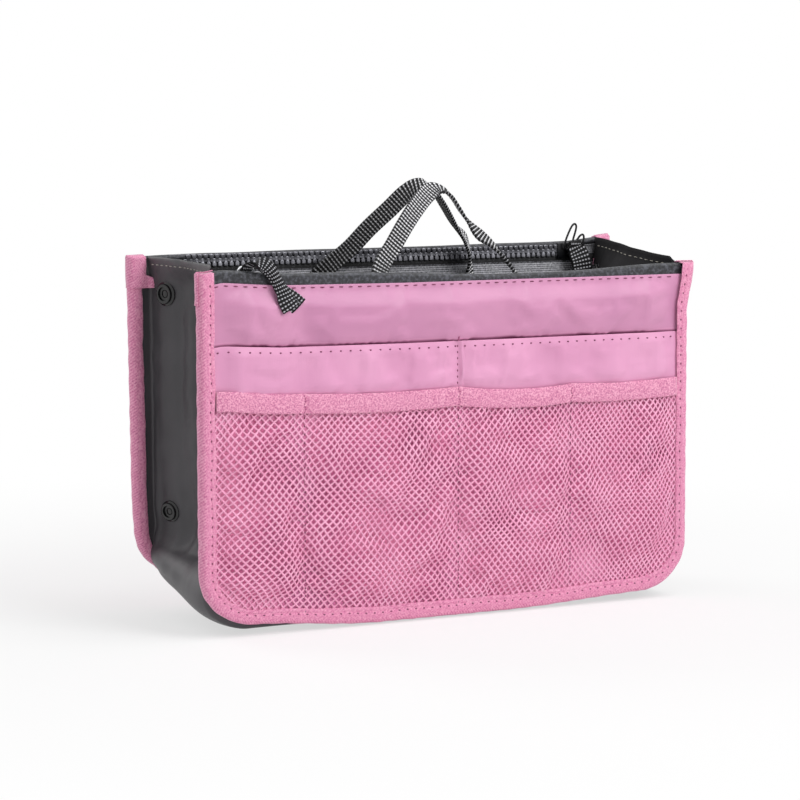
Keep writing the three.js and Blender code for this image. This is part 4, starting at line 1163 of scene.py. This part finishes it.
def zip_row(name, hand):
    """A row of teeth. hand is -1 for the lower row and 1 for the upper."""
    row = primitive(name, bpy.ops.mesh.primitive_cube_add, size=1)
    shift = TOOTH_PITCH / 2 if hand < 0 else 0
    with edit_mode():
        bpy.ops.transform.resize(value=[n * MM for n in TOOTH_FOOT], center_override=(0, 0, 0))
        bpy.ops.transform.translate(value=(0, 0, FOOT_LEVEL * MM))
        select_top(row)
        extrude_up(0.35)
        bpy.ops.transform.resize(value=(0.62, 0.85, 1), center_override=(0, 0, -1 * MM))
        extrude_up(1.1)
        bpy.ops.transform.resize(value=(1.2, 1, 1), center_override=(0, 0, 0))
        extrude_up(0.8)
        bpy.ops.mesh.select_all(action="SELECT")
        if hand > 0:
            bpy.ops.transform.rotate(value=math.pi, orient_axis="Y", center_override=(0, 0, 0))
        bpy.ops.transform.translate(value=Vector((CHAIN_START + shift, -CHAIN_OUT, ZIP_HEIGHT)) * MM)
    apply_modifier(row, "BEVEL", width=0.22 * MM, segments=1, limit_method="ANGLE")
    apply_modifier(
        row, "ARRAY", count=TOOTH_COUNT, use_relative_offset=False, use_constant_offset=True,
        constant_offset_displace=(TOOTH_PITCH * MM, 0, 0),
    )
    bpy.ops.object.shade_smooth_by_angle(angle=SMOOTH_ANGLE)
    row.data.materials.append(zip_plastic)
    return row


for node, hand in (("zip_teeth_lower", -1), ("zip_teeth_upper", 1)):
    teeth = zip_row(f"front_{node}_row", hand)
    fit_pair(teeth, f"rear_{node}_row", "zip_plastic", node, zip_part=True)
print("teeth:", TOOTH_COUNT, "in each row,", len(teeth.data.polygons), "faces a row")

# %% [markdown]
# ## Slider, ring and tab
# The slider is two plates that meet at a bridge, with lips that hold the tape's edges and a bail on the
# plate that shows. A wire ring hangs in the bail and a webbing tab is folded round the ring. The front
# ring leans out over the hem, while the rear one stands up with its tab hanging inside.

# %% Slider
SLIDER_MIDDLE = -115.5
SLIDER_LENGTH, SLIDER_HALF = 12, 4.0
SLIDER_LEFT, SLIDER_RIGHT = SLIDER_MIDDLE - SLIDER_LENGTH / 2, SLIDER_MIDDLE + SLIDER_LENGTH / 2
NOSE_ROUND, LIP = 3.2, 0.7
BAIL_ROUND, BAIL_WIRE, BAIL_WIDER = 1.85, 0.8, 2.1
WIRE_ROUNDNESS = 4


def block(name, low, high, bevel):
    """A cube between two corners in millimetres, with soft edges."""
    piece = primitive(name, bpy.ops.mesh.primitive_cube_add, size=1)
    low, high = np.array(low, float), np.array(high, float)
    with edit_mode():
        bpy.ops.transform.resize(value=tuple((high - low) * MM), center_override=(0, 0, 0))
        bpy.ops.transform.translate(value=tuple((low + high) / 2 * MM))
    if bevel:
        apply_modifier(piece, "BEVEL", width=bevel * MM, segments=3, limit_method="ANGLE")
    return piece


def slider_plate(name, near, far):
    """A plate whose nose corners are cut round, as a bevel of two upright edges makes them."""
    low, high = ZIP_HEIGHT - SLIDER_HALF, ZIP_HEIGHT + SLIDER_HALF
    plate = block(name, (SLIDER_LEFT, near, low), (SLIDER_RIGHT, far, high), 0)
    select_points(plate, np.zeros(len(plate.data.vertices), bool))
    bpy.context.tool_settings.mesh_select_mode = (False, True, False)
    for edge in plate.data.edges:
        ends = [plate.data.vertices[i].co for i in edge.vertices]
        at_nose = all(abs(end.x - SLIDER_LEFT * MM) < 1e-6 for end in ends)
        edge.select = at_nose and abs(ends[0].z - ends[1].z) < 1e-6
    with edit_mode():
        bpy.ops.mesh.bevel(offset=NOSE_ROUND * MM, segments=6)
    bpy.context.tool_settings.mesh_select_mode = (True, False, False)
    apply_modifier(plate, "BEVEL", width=0.25 * MM, segments=2, limit_method="ANGLE")
    return plate


def wire(name, line, thickness, closed):
    """A round wire along points in millimetres."""
    piece = poly_line(name, np.array(line) * MM, closed)
    piece.data.bevel_depth = thickness / 2 * MM
    piece.data.bevel_resolution = WIRE_ROUNDNESS
    piece.data.use_fill_caps = True
    only(piece)
    bpy.ops.object.convert(target="MESH")
    bpy.ops.object.shade_smooth()
    return bpy.context.active_object


def zip_slider(name):
    left, right = SLIDER_LEFT, SLIDER_RIGHT
    parts = [slider_plate("plate_near", -36.25, -35.35), slider_plate("plate_far", -39.65, -38.85)]
    bridge = (left + 0.5, -39, ZIP_HEIGHT - 1.1), (left + 3.1, -36.1, ZIP_HEIGHT + 1.1)
    parts.append(block("bridge", *bridge, 0.3))
    for low in (ZIP_HEIGHT - SLIDER_HALF, ZIP_HEIGHT + SLIDER_HALF - LIP):
        for far, near in ((-37.0, -36.0), (-39.0, -38.1)):
            parts.append(block("lip", (left + 3, far, low), (right, near, low + LIP), 0.15))
    turns = np.linspace(0, math.pi, 13)
    arch = [(-33.75 + BAIL_ROUND * math.sin(t), BAIL_ROUND * math.cos(t)) for t in turns]
    arch = [(-35.6, BAIL_ROUND), *arch, (-35.6, -BAIL_ROUND)]
    bail = wire("bail", [(SLIDER_MIDDLE, y, ZIP_HEIGHT + up) for y, up in arch], BAIL_WIRE, False)
    only(bail)
    with edit_mode():
        bpy.ops.mesh.select_all(action="SELECT")
        bpy.ops.transform.resize(value=(BAIL_WIDER, 1, 1), center_override=(SLIDER_MIDDLE * MM, 0, 0))
    slider = join(name, *parts, bail)
    bpy.ops.object.shade_smooth_by_angle(angle=SMOOTH_ANGLE)
    return slider


slider = zip_slider("front_zip_slider_body")
rear_slider = rear_copy(slider, "rear_zip_slider_body")
slider.data.materials.append(nickel)
rear_slider.data.materials.append(black_metal)
fit(slider, "front_slider", "nickel", "front_zip_slider", zip_part=True)
fit(rear_slider, "rear_slider", "black_metal", "rear_zip_slider", zip_part=True)
print("slider:", len(slider.data.polygons), "faces")

# %% Ring
RING_WIRE = 1.1
BAR_OUT = 33.1
FRONT_LEAN = math.radians(19)
REAR_TILT = math.radians(30)
FRONT_RING = (
    (0, 0), (3, 0.2), (4.3, 2.6), (4.4, 6), (3.5, 8.9), (1.7, 9.7), (0, 8.6), (-1.7, 9.7), (-3.5, 8.9),
    (-4.4, 6), (-4.3, 2.6), (-3, 0.2),
)
REAR_RING = (
    (0, 0), (3.2, 0.2), (4.6, 2.8), (5.2, 8), (5.1, 12.4), (4, 14.1), (2.5, 13.2), (1.6, 10.2), (0.9, 6.6),
    (-0.2, 4.7), (-1.3, 7), (-2.1, 10.4), (-3.4, 11.7), (-4.8, 10.4), (-5.2, 6.5), (-4.6, 2.6), (-3.2, 0.2),
)


def closed_spline(points, steps=6):
    """A smooth closed line through points, each stretch bent by the two points beside it."""
    p1 = np.array(points, float)
    p0, p2, p3 = np.roll(p1, 1, 0), np.roll(p1, -1, 0), np.roll(p1, -2, 0)
    t = np.linspace(0, 1, steps, endpoint=False)[None, :, None]
    p0, p1, p2, p3 = (p[:, None] for p in (p0, p1, p2, p3))
    line = p1 + (p2 - p0) * t / 2 + (p0 - 2.5 * p1 + 2 * p2 - p3 / 2) * t ** 2
    line = line + (1.5 * (p1 - p2) + (p3 - p0) / 2) * t ** 3
    return line.reshape(-1, p1.shape[-1])


def pull_ring(name, outline, lean_out, tilt):
    """A bent wire ring that stands on its lower bar, leans outward and tilts to the left."""
    wide, tall = closed_spline(outline).T
    across = wide * math.cos(tilt) - tall * math.sin(tilt)
    up = wide * math.sin(tilt) + tall * math.cos(tilt)
    out = BAR_OUT + up * math.sin(lean_out)
    line = np.stack([SLIDER_MIDDLE + across, -out, ZIP_HEIGHT + up * math.cos(lean_out)], axis=1)
    return wire(name, line, RING_WIRE, True)


ring = pull_ring("front_pull_ring_wire", FRONT_RING, FRONT_LEAN, 0)
ring.data.materials.append(nickel)
fit(ring, "front_ring", "nickel", "front_pull_ring", zip_part=True)
upright = pull_ring("front_ring_upright", REAR_RING, 0, REAR_TILT)
rear_ring = rear_copy(upright, "rear_pull_ring_wire")
only(upright)
bpy.ops.object.delete()
rear_ring.data.materials.append(black_metal)
fit(rear_ring, "rear_ring", "black_metal", "rear_pull_ring", zip_part=True)
print("ring:", len(ring.data.polygons), "faces")

# %% [markdown]
# ## Webbing
# Handles and tabs are woven straps. A strap follows a smooth line through a few points, and at each
# point it has a direction across. The weave is modelled as well: the cross threads stand as low ribs,
# crossed by shallow grooves, with the same period as the light and dark threads of the finish.

# %% Straps
STRAP_GRID = 0.42


def smooth_line(points, count):
    """A smooth line through rows of numbers, at count even steps of its own length."""
    points = np.array(points, float)
    padded = np.vstack([2 * points[0] - points[1], points, 2 * points[-1] - points[-2]])
    fine = []
    for i in range(len(points) - 1):
        t = np.linspace(0, 1, 40, endpoint=False)[:, None]
        a, b, c, d = padded[i:i + 4]
        bends = (2 * a - 5 * b + 4 * c - d) * t ** 2 + (3 * b - a - 3 * c + d) * t ** 3
        fine.append(0.5 * (2 * b + (c - a) * t + bends))
    fine = np.vstack([*fine, points[-1]])
    length = np.concatenate([[0], np.cumsum(np.linalg.norm(np.diff(fine[:, :3], axis=0), axis=1))])
    even = np.linspace(0, length[-1], count)
    return np.stack([np.interp(even, length, column) for column in fine.T], axis=1), length[-1]


def unit(rows):
    return rows / np.linalg.norm(rows, axis=1)[:, None]


def strap(name, route, thickness, finish, weave):
    """A woven strap. A row of route is x, y, z, three numbers for the way across, width and cup depth."""
    _, length = smooth_line(route, 50)
    rows = int(length / STRAP_GRID)
    line, length = smooth_line(route, rows + 1)
    widest = max(row[6] for row in route)
    columns = int(round(widest / STRAP_GRID))
    along = unit(np.gradient(line[:, :3], axis=0))
    across = unit(line[:, 3:6] - along * np.sum(along * line[:, 3:6], axis=1)[:, None])
    face = np.cross(across, along)
    turn = math.tau / (RIB / MM)

    def place(u, w):
        row = np.rint(w * rows).astype(int)
        aside = (u - 0.5) * line[row, 6]
        ribs = weave * np.sin(turn * w * length) * (0.7 + 0.3 * np.sin(turn * u * widest))
        high = ribs - line[row, 7] * (2 * u - 1) ** 2 + thickness / 2
        points = line[row, :3] + across[row] * aside[:, None] + face[row] * high[:, None]
        return points.T

    piece = lay_cloth(name, columns, rows, place, (widest * MM, length * MM))
    thicken(piece, thickness)
    piece.data.materials.append(finish)
    return piece, length


print("strap helpers are ready")

# %% Handles
HANDLE_WIDTH, HANDLE_CUP, HANDLE_THICKNESS, HANDLE_WEAVE = 9.5, 0.3, 1.4, 0.16
FRONT_HANDLE = (
    (-42.5, -36.2, 157, 0), (-41.2, -34.4, 168, 0), (-36.8, -30, 180, 0), (-28.4, -26.8, 190, 2),
    (-20.6, -23.6, 199.1, 5), (-12.6, -19.4, 206.8, 10), (-2.6, -13.5, 214.2, 24), (5.5, -9.5, 218.2, 52),
    (11, -9.5, 217.4, 66), (14.6, -12, 213.6, 70), (16.9, -15.8, 207.9, 68), (19.9, -19.6, 201.8, 62),
    (24.5, -23.8, 194.8, 42), (30.2, -26.6, 189.8, 58), (36.6, -29, 182.2, 74), (41.6, -31.6, 174.5, 55),
    (43, -35.4, 164, 12), (43, -36.2, 157, 0),
)
REAR_HANDLE = (
    (-41.5, 36.2, 164, 0), (-39.9, 33.9, 171, 0), (-34.8, 30.6, 177, 0), (-24.2, 26.8, 186.4, 2),
    (-14.8, 23.2, 197, 5), (-5.2, 18.4, 207, 12), (2, 13.5, 215.4, 26), (8.2, 9.5, 219.6, 55),
    (14, 9.8, 218.4, 72), (20.6, 12.5, 212.6, 78), (27.6, 16.4, 205.4, 78), (36.4, 21.6, 196.2, 70),
    (45, 25.8, 189.4, 48), (49.4, 29, 181, 58), (50.9, 31.8, 173.6, 45), (51.4, 34.6, 168, 15),
    (51.4, 36.2, 163, 0),
)


def handle_route(rows):
    """A strap's rows from points with a twist in degrees. Without twist, the strap faces the front."""
    line = np.array([row[:3] for row in rows])
    along = unit(np.gradient(line, axis=0))
    flat = unit(np.cross(along, np.array([0, 1.0, 0])))
    depth = unit(np.cross(flat, along))
    turn = np.radians([row[3] for row in rows])[:, None]
    across = flat * np.cos(turn) + depth * np.sin(turn)
    return [[*p, *a, HANDLE_WIDTH, HANDLE_CUP] for p, a in zip(line, across)]


def handle_strap(name, rows):
    return strap(name, handle_route(rows), HANDLE_THICKNESS, webbing, HANDLE_WEAVE)


front_handle, front_long = handle_strap("front_handle_strap", FRONT_HANDLE)
rear_handle, rear_long = handle_strap("rear_handle_strap", REAR_HANDLE)
for side, handle in zip(SIDES, (front_handle, rear_handle)):
    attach(handle, side + "_handle")
    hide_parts(side + "_handle")
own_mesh(front_handle)
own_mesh(rear_handle)
print("handles:", round(front_long), "and", round(rear_long), "mm of webbing")

# %% Pull tabs
EYE = 1.15
TAB_THICKNESS, TAB_WEAVE = 0.8, 0.14
FRONT_TALL, REAR_TALL = 8.6, 4.7
FRONT_EYE = np.array((
    SLIDER_MIDDLE,
    -(BAR_OUT + FRONT_TALL * math.sin(FRONT_LEAN)),
    ZIP_HEIGHT + FRONT_TALL * math.cos(FRONT_LEAN),
))
REAR_EYE = np.array((
    -SLIDER_MIDDLE + REAR_TALL * math.sin(REAR_TILT),
    BAR_OUT,
    ZIP_HEIGHT + REAR_TALL * math.cos(REAR_TILT),
))
FRONT_TAIL = (
    (0.4, 3.0, 2.0, 5.6, 0), (3.2, 5.8, 3.4, 7.0, 0.4), (6.8, 7.4, 2.4, 7.2, 0.8),
    (10.2, 8.2, -1.2, 6.0, 0.9), (12.8, 8.9, -6.0, 5.2, 0.9), (15.2, 9.8, -10.8, 6.8, 1.0),
    (18.2, 10.8, -15.4, 9.2, 1.0), (21.2, 11.4, -19.4, 10.4, 0.8),
)
REAR_TAIL = (
    (1.4, 0.0, -2.0, 9.6), (2.6, -1.4, -5, 11.4), (3.7, -2.6, -9, 11.6), (4.6, -3.0, -16, 11.6),
    (5.4, -3.0, -25, 11.6),
)
FRONT_ROUND = (60, 120, 180, 240, 300)
REAR_ROUND = (200, 145, 90, 35, -20)
WAIST, FISHTAIL = 12.8, 2.0
FRONT_GAP, REAR_GAP, REAR_TOP_GAP = 0.385, 0.5, 1.0


def front_row(leg, dx, out, dz, wide, cup):
    """A row of the front tab. leg is 1 for the upper leg and -1 for the lower. Their ends splay apart."""
    splay = leg * smooth((dx - WAIST) / 8.4)
    slant = math.radians(42 - 13 * splay) * smooth(dx / 10)
    gap = FRONT_GAP * leg
    place = FRONT_EYE + (dx - FISHTAIL * splay, -(out + gap), dz + gap - 0.4 * FISHTAIL * splay)
    return [*place, math.cos(slant), 0, math.sin(slant), wide, cup * leg]


def rear_row(leg, dx, out, dz, wide):
    gap = (REAR_TOP_GAP if dz > -3 else REAR_GAP) * leg
    return [*(REAR_EYE + (dx, out - gap, dz)), 1, 0, 0.2, wide, 0]


def round_ring(eye, turns, outward, rise, wide):
    """Rows that take a tab round the wire of its ring."""
    angles = [math.radians(turn) for turn in turns]
    places = [eye + (0, outward * EYE * math.cos(a), EYE * math.sin(a)) for a in angles]
    return [[*place, 1, 0, rise, wide, 0] for place in places]


def pull_tab(name, row, tail, bend):
    """A strap that comes up one leg, goes round the ring and down the other leg."""
    up = [row(1, *point) for point in reversed(tail)]
    down = [row(-1, *point) for point in tail]
    return strap(name, [*up, *bend, *down], TAB_THICKNESS, tab_webbing, TAB_WEAVE)[0]


front_bend = round_ring(FRONT_EYE, FRONT_ROUND, -1, 0, 5.2)
rear_bend = round_ring(REAR_EYE + (1.2, 0, 0), REAR_ROUND, 1, 0.18, 6.4)
front_tab = pull_tab("front_pull_tab_strap", front_row, FRONT_TAIL, front_bend)
fit(front_tab, "front_tab", "webbing", "front_pull_tab", zip_part=True)
rear_tab = pull_tab("rear_pull_tab_strap", rear_row, REAR_TAIL, rear_bend)
fit(rear_tab, "rear_tab", "webbing", "rear_pull_tab", zip_part=True)
print("tabs:", len(front_tab.data.polygons), len(rear_tab.data.polygons), "faces")

# %% [markdown]
# ## Boxing strip
# One charcoal strip forms both gussets and the base. Each gusset is folded inward along its middle, so
# that the insert can be pushed flat, and the fold fades out at the lower corners. The strip is one
# continuous sheet from one side to the other. Under the curled front left corner it droops to the table.
# Its inner face is rougher and duller, and its colour is painted darker as painted shade inside the box.

# %% Strip
STRIP_HALF = 36.8
SHOULDER_INSET, TOP_SHOULDER_INSET = 11.6, 9.8
FOLD_INSET, TOP_FOLD_INSET = 25.0, 11.5
SHOULDER_OUT, FOLD_ROUND, SNAP_OUT = 35.0, 3, 26
CORNER_BULGE = 3.5
FOLD_LOW, FOLD_FULL = 8, 44
GUSSET_TOP, TOP_TILT = 183.8, 1.4
STRIP_RUN = EDGE_RUN - 2 * (HEIGHT - GUSSET_TOP)
FLANGE = 8.0
DROOP = 2.8
SHOULDER_ROUND = 1.2
STRIP_CLOTH = 0.4


def web_inset(y, z):
    """How far the folded web lies inside the outer edge. It is rounded at the fold and flatter above."""
    open_top = smooth((z - 166) / 18)
    deep = FOLD_INSET + (TOP_FOLD_INSET - FOLD_INSET) * open_top
    shoulder = SHOULDER_INSET + (TOP_SHOULDER_INSET - SHOULDER_INSET) * open_top
    return deep - (deep - shoulder) * np.clip(np.sqrt(y ** 2 + FOLD_ROUND ** 2) / SHOULDER_OUT, 0, 1.02)


def place_strip(u, w):
    s = (HEIGHT - GUSSET_TOP) + u * STRIP_RUN
    x, z, across, up = edge_path(s)
    folded = smooth((z - FOLD_LOW) / (FOLD_FULL - FOLD_LOW))
    t = (w - 0.5) * 2 * (STRIP_HALF + FLANGE)
    straight = STRIP_HALF - SHOULDER_ROUND
    past = np.maximum(np.abs(t) - straight, 0)
    round_off = np.clip(past / (2 * SHOULDER_ROUND), 0, 1)
    y = np.clip(t, -straight, straight) + np.sign(t) * SHOULDER_ROUND * np.sin(round_off * math.pi / 2)
    shoulder = web_inset(np.minimum(np.abs(y), SHOULDER_OUT), z)
    at_edge = np.maximum(past - SHOULDER_ROUND, 0)
    near_snap = np.exp(-(((np.abs(y) - SNAP_OUT) / 8) ** 2))
    pleat = 1.2 * ripple(s * 0.22, y, 17, 81) + 0.55 * ripple(s * 0.5, y, 9, 82)
    pleat = pleat * (1 - round_off) * (1 - 0.85 * near_snap) * (1 - 0.6 * smooth((z - 160) / 20))
    flange = shoulder + pleat - np.minimum(at_edge, 8) * np.clip((shoulder - 1) / 10.6, 0, 1)
    inset = folded * flange + (1 - folded) * (0.3 + np.minimum(past, 9))
    level = 1 - np.clip(np.abs(t) / STRIP_HALF, 0, 1) ** 4
    inset = inset - CORNER_BULGE * 2 * np.abs(across) * up * level
    z = z - (TOP_TILT * y / STRIP_HALF + 0.8 * past) * smooth((z - 150) / 30)
    z = z - DROOP * smooth((-x - 70) / 50) * up * (1 - round_off) * smooth((10 - y) / 40)
    return x + across * inset, y, z + up * inset


def span_strip(piece):
    """Leans a piece of the strip and keeps its points in world space."""
    lean(piece)
    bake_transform(piece)


strip = lay_cloth("boxing_strip_cloth", 330, 72, place_strip, (0.62, 0.09))
strip.data.materials.append(charcoal_shaded_back)
strip.data.materials.append(charcoal_nylon)
thicken(strip, STRIP_CLOTH, 0.0, back=1)
strip_parts = ("left_gusset", "right_gusset", "base_half")
strip_nodes = [f"{side}_{part}" for side in SIDES for part in strip_parts]
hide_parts(*strip_nodes)
span_strip(strip)
print("strip:", len(strip.data.polygons), "faces")

# %% Hem stitches of the gussets
HEM_DEPTH, HEM_FACE = 4.2, 0.28
hem_rows = []
across_strip = np.linspace(0.115, 0.885, 40)
for along_strip in (HEM_DEPTH / STRIP_RUN, 1 - HEM_DEPTH / STRIP_RUN):
    hem_x, hem_y, hem_z = place_strip(np.full_like(across_strip, along_strip), across_strip)
    for face in (-HEM_FACE, HEM_FACE):
        hem_line = np.stack([hem_x + face, hem_y, hem_z], axis=1) * MM
        hem_rows.append(stitch_row("hem_row", hem_line, 4.4, 2.6, 0.6, grey_thread))
hem_stitches = join("gusset_hem_stitches", *hem_rows)
span_strip(hem_stitches)
print("hem stitches:", len(hem_stitches.data.polygons), "faces")

# %% [markdown]
# ## Press snaps
# On each gusset a stud faces a socket, at two heights. They are turned parts, so each starts as a circle
# whose edge is extruded and resized ring by ring, which is what a lathe does. A cap on the inside holds
# each through the cloth.

# %% Turned parts
SNAP_SIDES = 32


def turned(name, rings):
    """A turned part from rings of radius and height in mm. The last closes on the first, or at a point."""
    radius, height = rings[0]
    piece = primitive(name, bpy.ops.mesh.primitive_circle_add, vertices=SNAP_SIDES, radius=radius * MM)
    with edit_mode():
        bpy.ops.mesh.select_all(action="SELECT")
        bpy.ops.transform.translate(value=(0, 0, height * MM))
        for wide, high in rings[1:]:
            extrude_up(high - height)
            grow = wide / radius
            bpy.ops.transform.resize(value=(grow, grow, 1), center_override=(0, 0, high * MM))
            radius, height = wide, high
        bpy.ops.mesh.select_all(action="SELECT")
        bpy.ops.mesh.remove_doubles(threshold=1e-6)
        bpy.ops.mesh.normals_make_consistent(inside=False)
    sharp = math.radians(40)
    apply_modifier(piece, "BEVEL", width=0.18 * MM, segments=2, limit_method="ANGLE", angle_limit=sharp)
    bpy.ops.object.shade_smooth_by_angle(angle=SMOOTH_ANGLE)
    piece.data.materials.append(snap_plastic)
    return piece


FLANGE_RINGS = [(2.0, 0.3), (6.2, 0.3), (6.2, 0.8)]
SOCKET = [*FLANGE_RINGS, (5.0, 1.2), (4.9, 2.5), (3.4, 2.5), (3.3, 1.2), (2.0, 1.2), (2.0, 0.3)]
STUD = [*FLANGE_RINGS, (3.2, 1.2), (2.6, 2.0), (3.0, 2.9), (2.5, 3.6), (2.0, 3.6), (2.0, 0.3)]
CAP = [
    (0.01, -1.9), (3.5, -1.85), (5.6, -1.5), (6.2, -0.9), (6.2, -0.4), (1.7, -0.4), (1.7, 1.2), (0.01, 1.2),
]
SNAP_HEIGHTS = {"upper": 164, "lower": 52}


def place_snap(piece, hand, side, height):
    """Turns a part square to the gusset's web and moves it there. hand is -1 left, side is -1 front."""
    inset, further = web_inset(np.array([SNAP_OUT, SNAP_OUT + 1.0]), np.array(height))
    axis = Vector((hand, side * (further - inset), 0)).normalized()
    turn = Vector((0, 0, 1)).rotation_difference(axis).to_matrix().to_4x4()
    place = Vector((hand * (HALF_LENGTH - inset), side * SNAP_OUT, height)) * MM
    piece.matrix_world = Matrix.Translation(place) @ turn
    only(piece)
    bpy.ops.object.transform_apply(location=True, rotation=True, scale=True)


for side_name, side in (("front", -1), ("rear", 1)):
    for hand_name, hand in (("left", -1), ("right", 1)):
        for level, height in SNAP_HEIGHTS.items():
            kind, rings = ("stud", STUD) if side < 0 else ("socket", SOCKET)
            for part, profile in ((kind, rings), ("cap", CAP)):
                node = f"{side_name}_{hand_name}_{level}_snap_{part}"
                snap = turned(node + "_turned", profile)
                place_snap(snap, hand, side, height)
                lean(snap)
                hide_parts(node)
                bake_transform(snap)
print("snaps:", len(SNAP_HEIGHTS) * 4, "places")
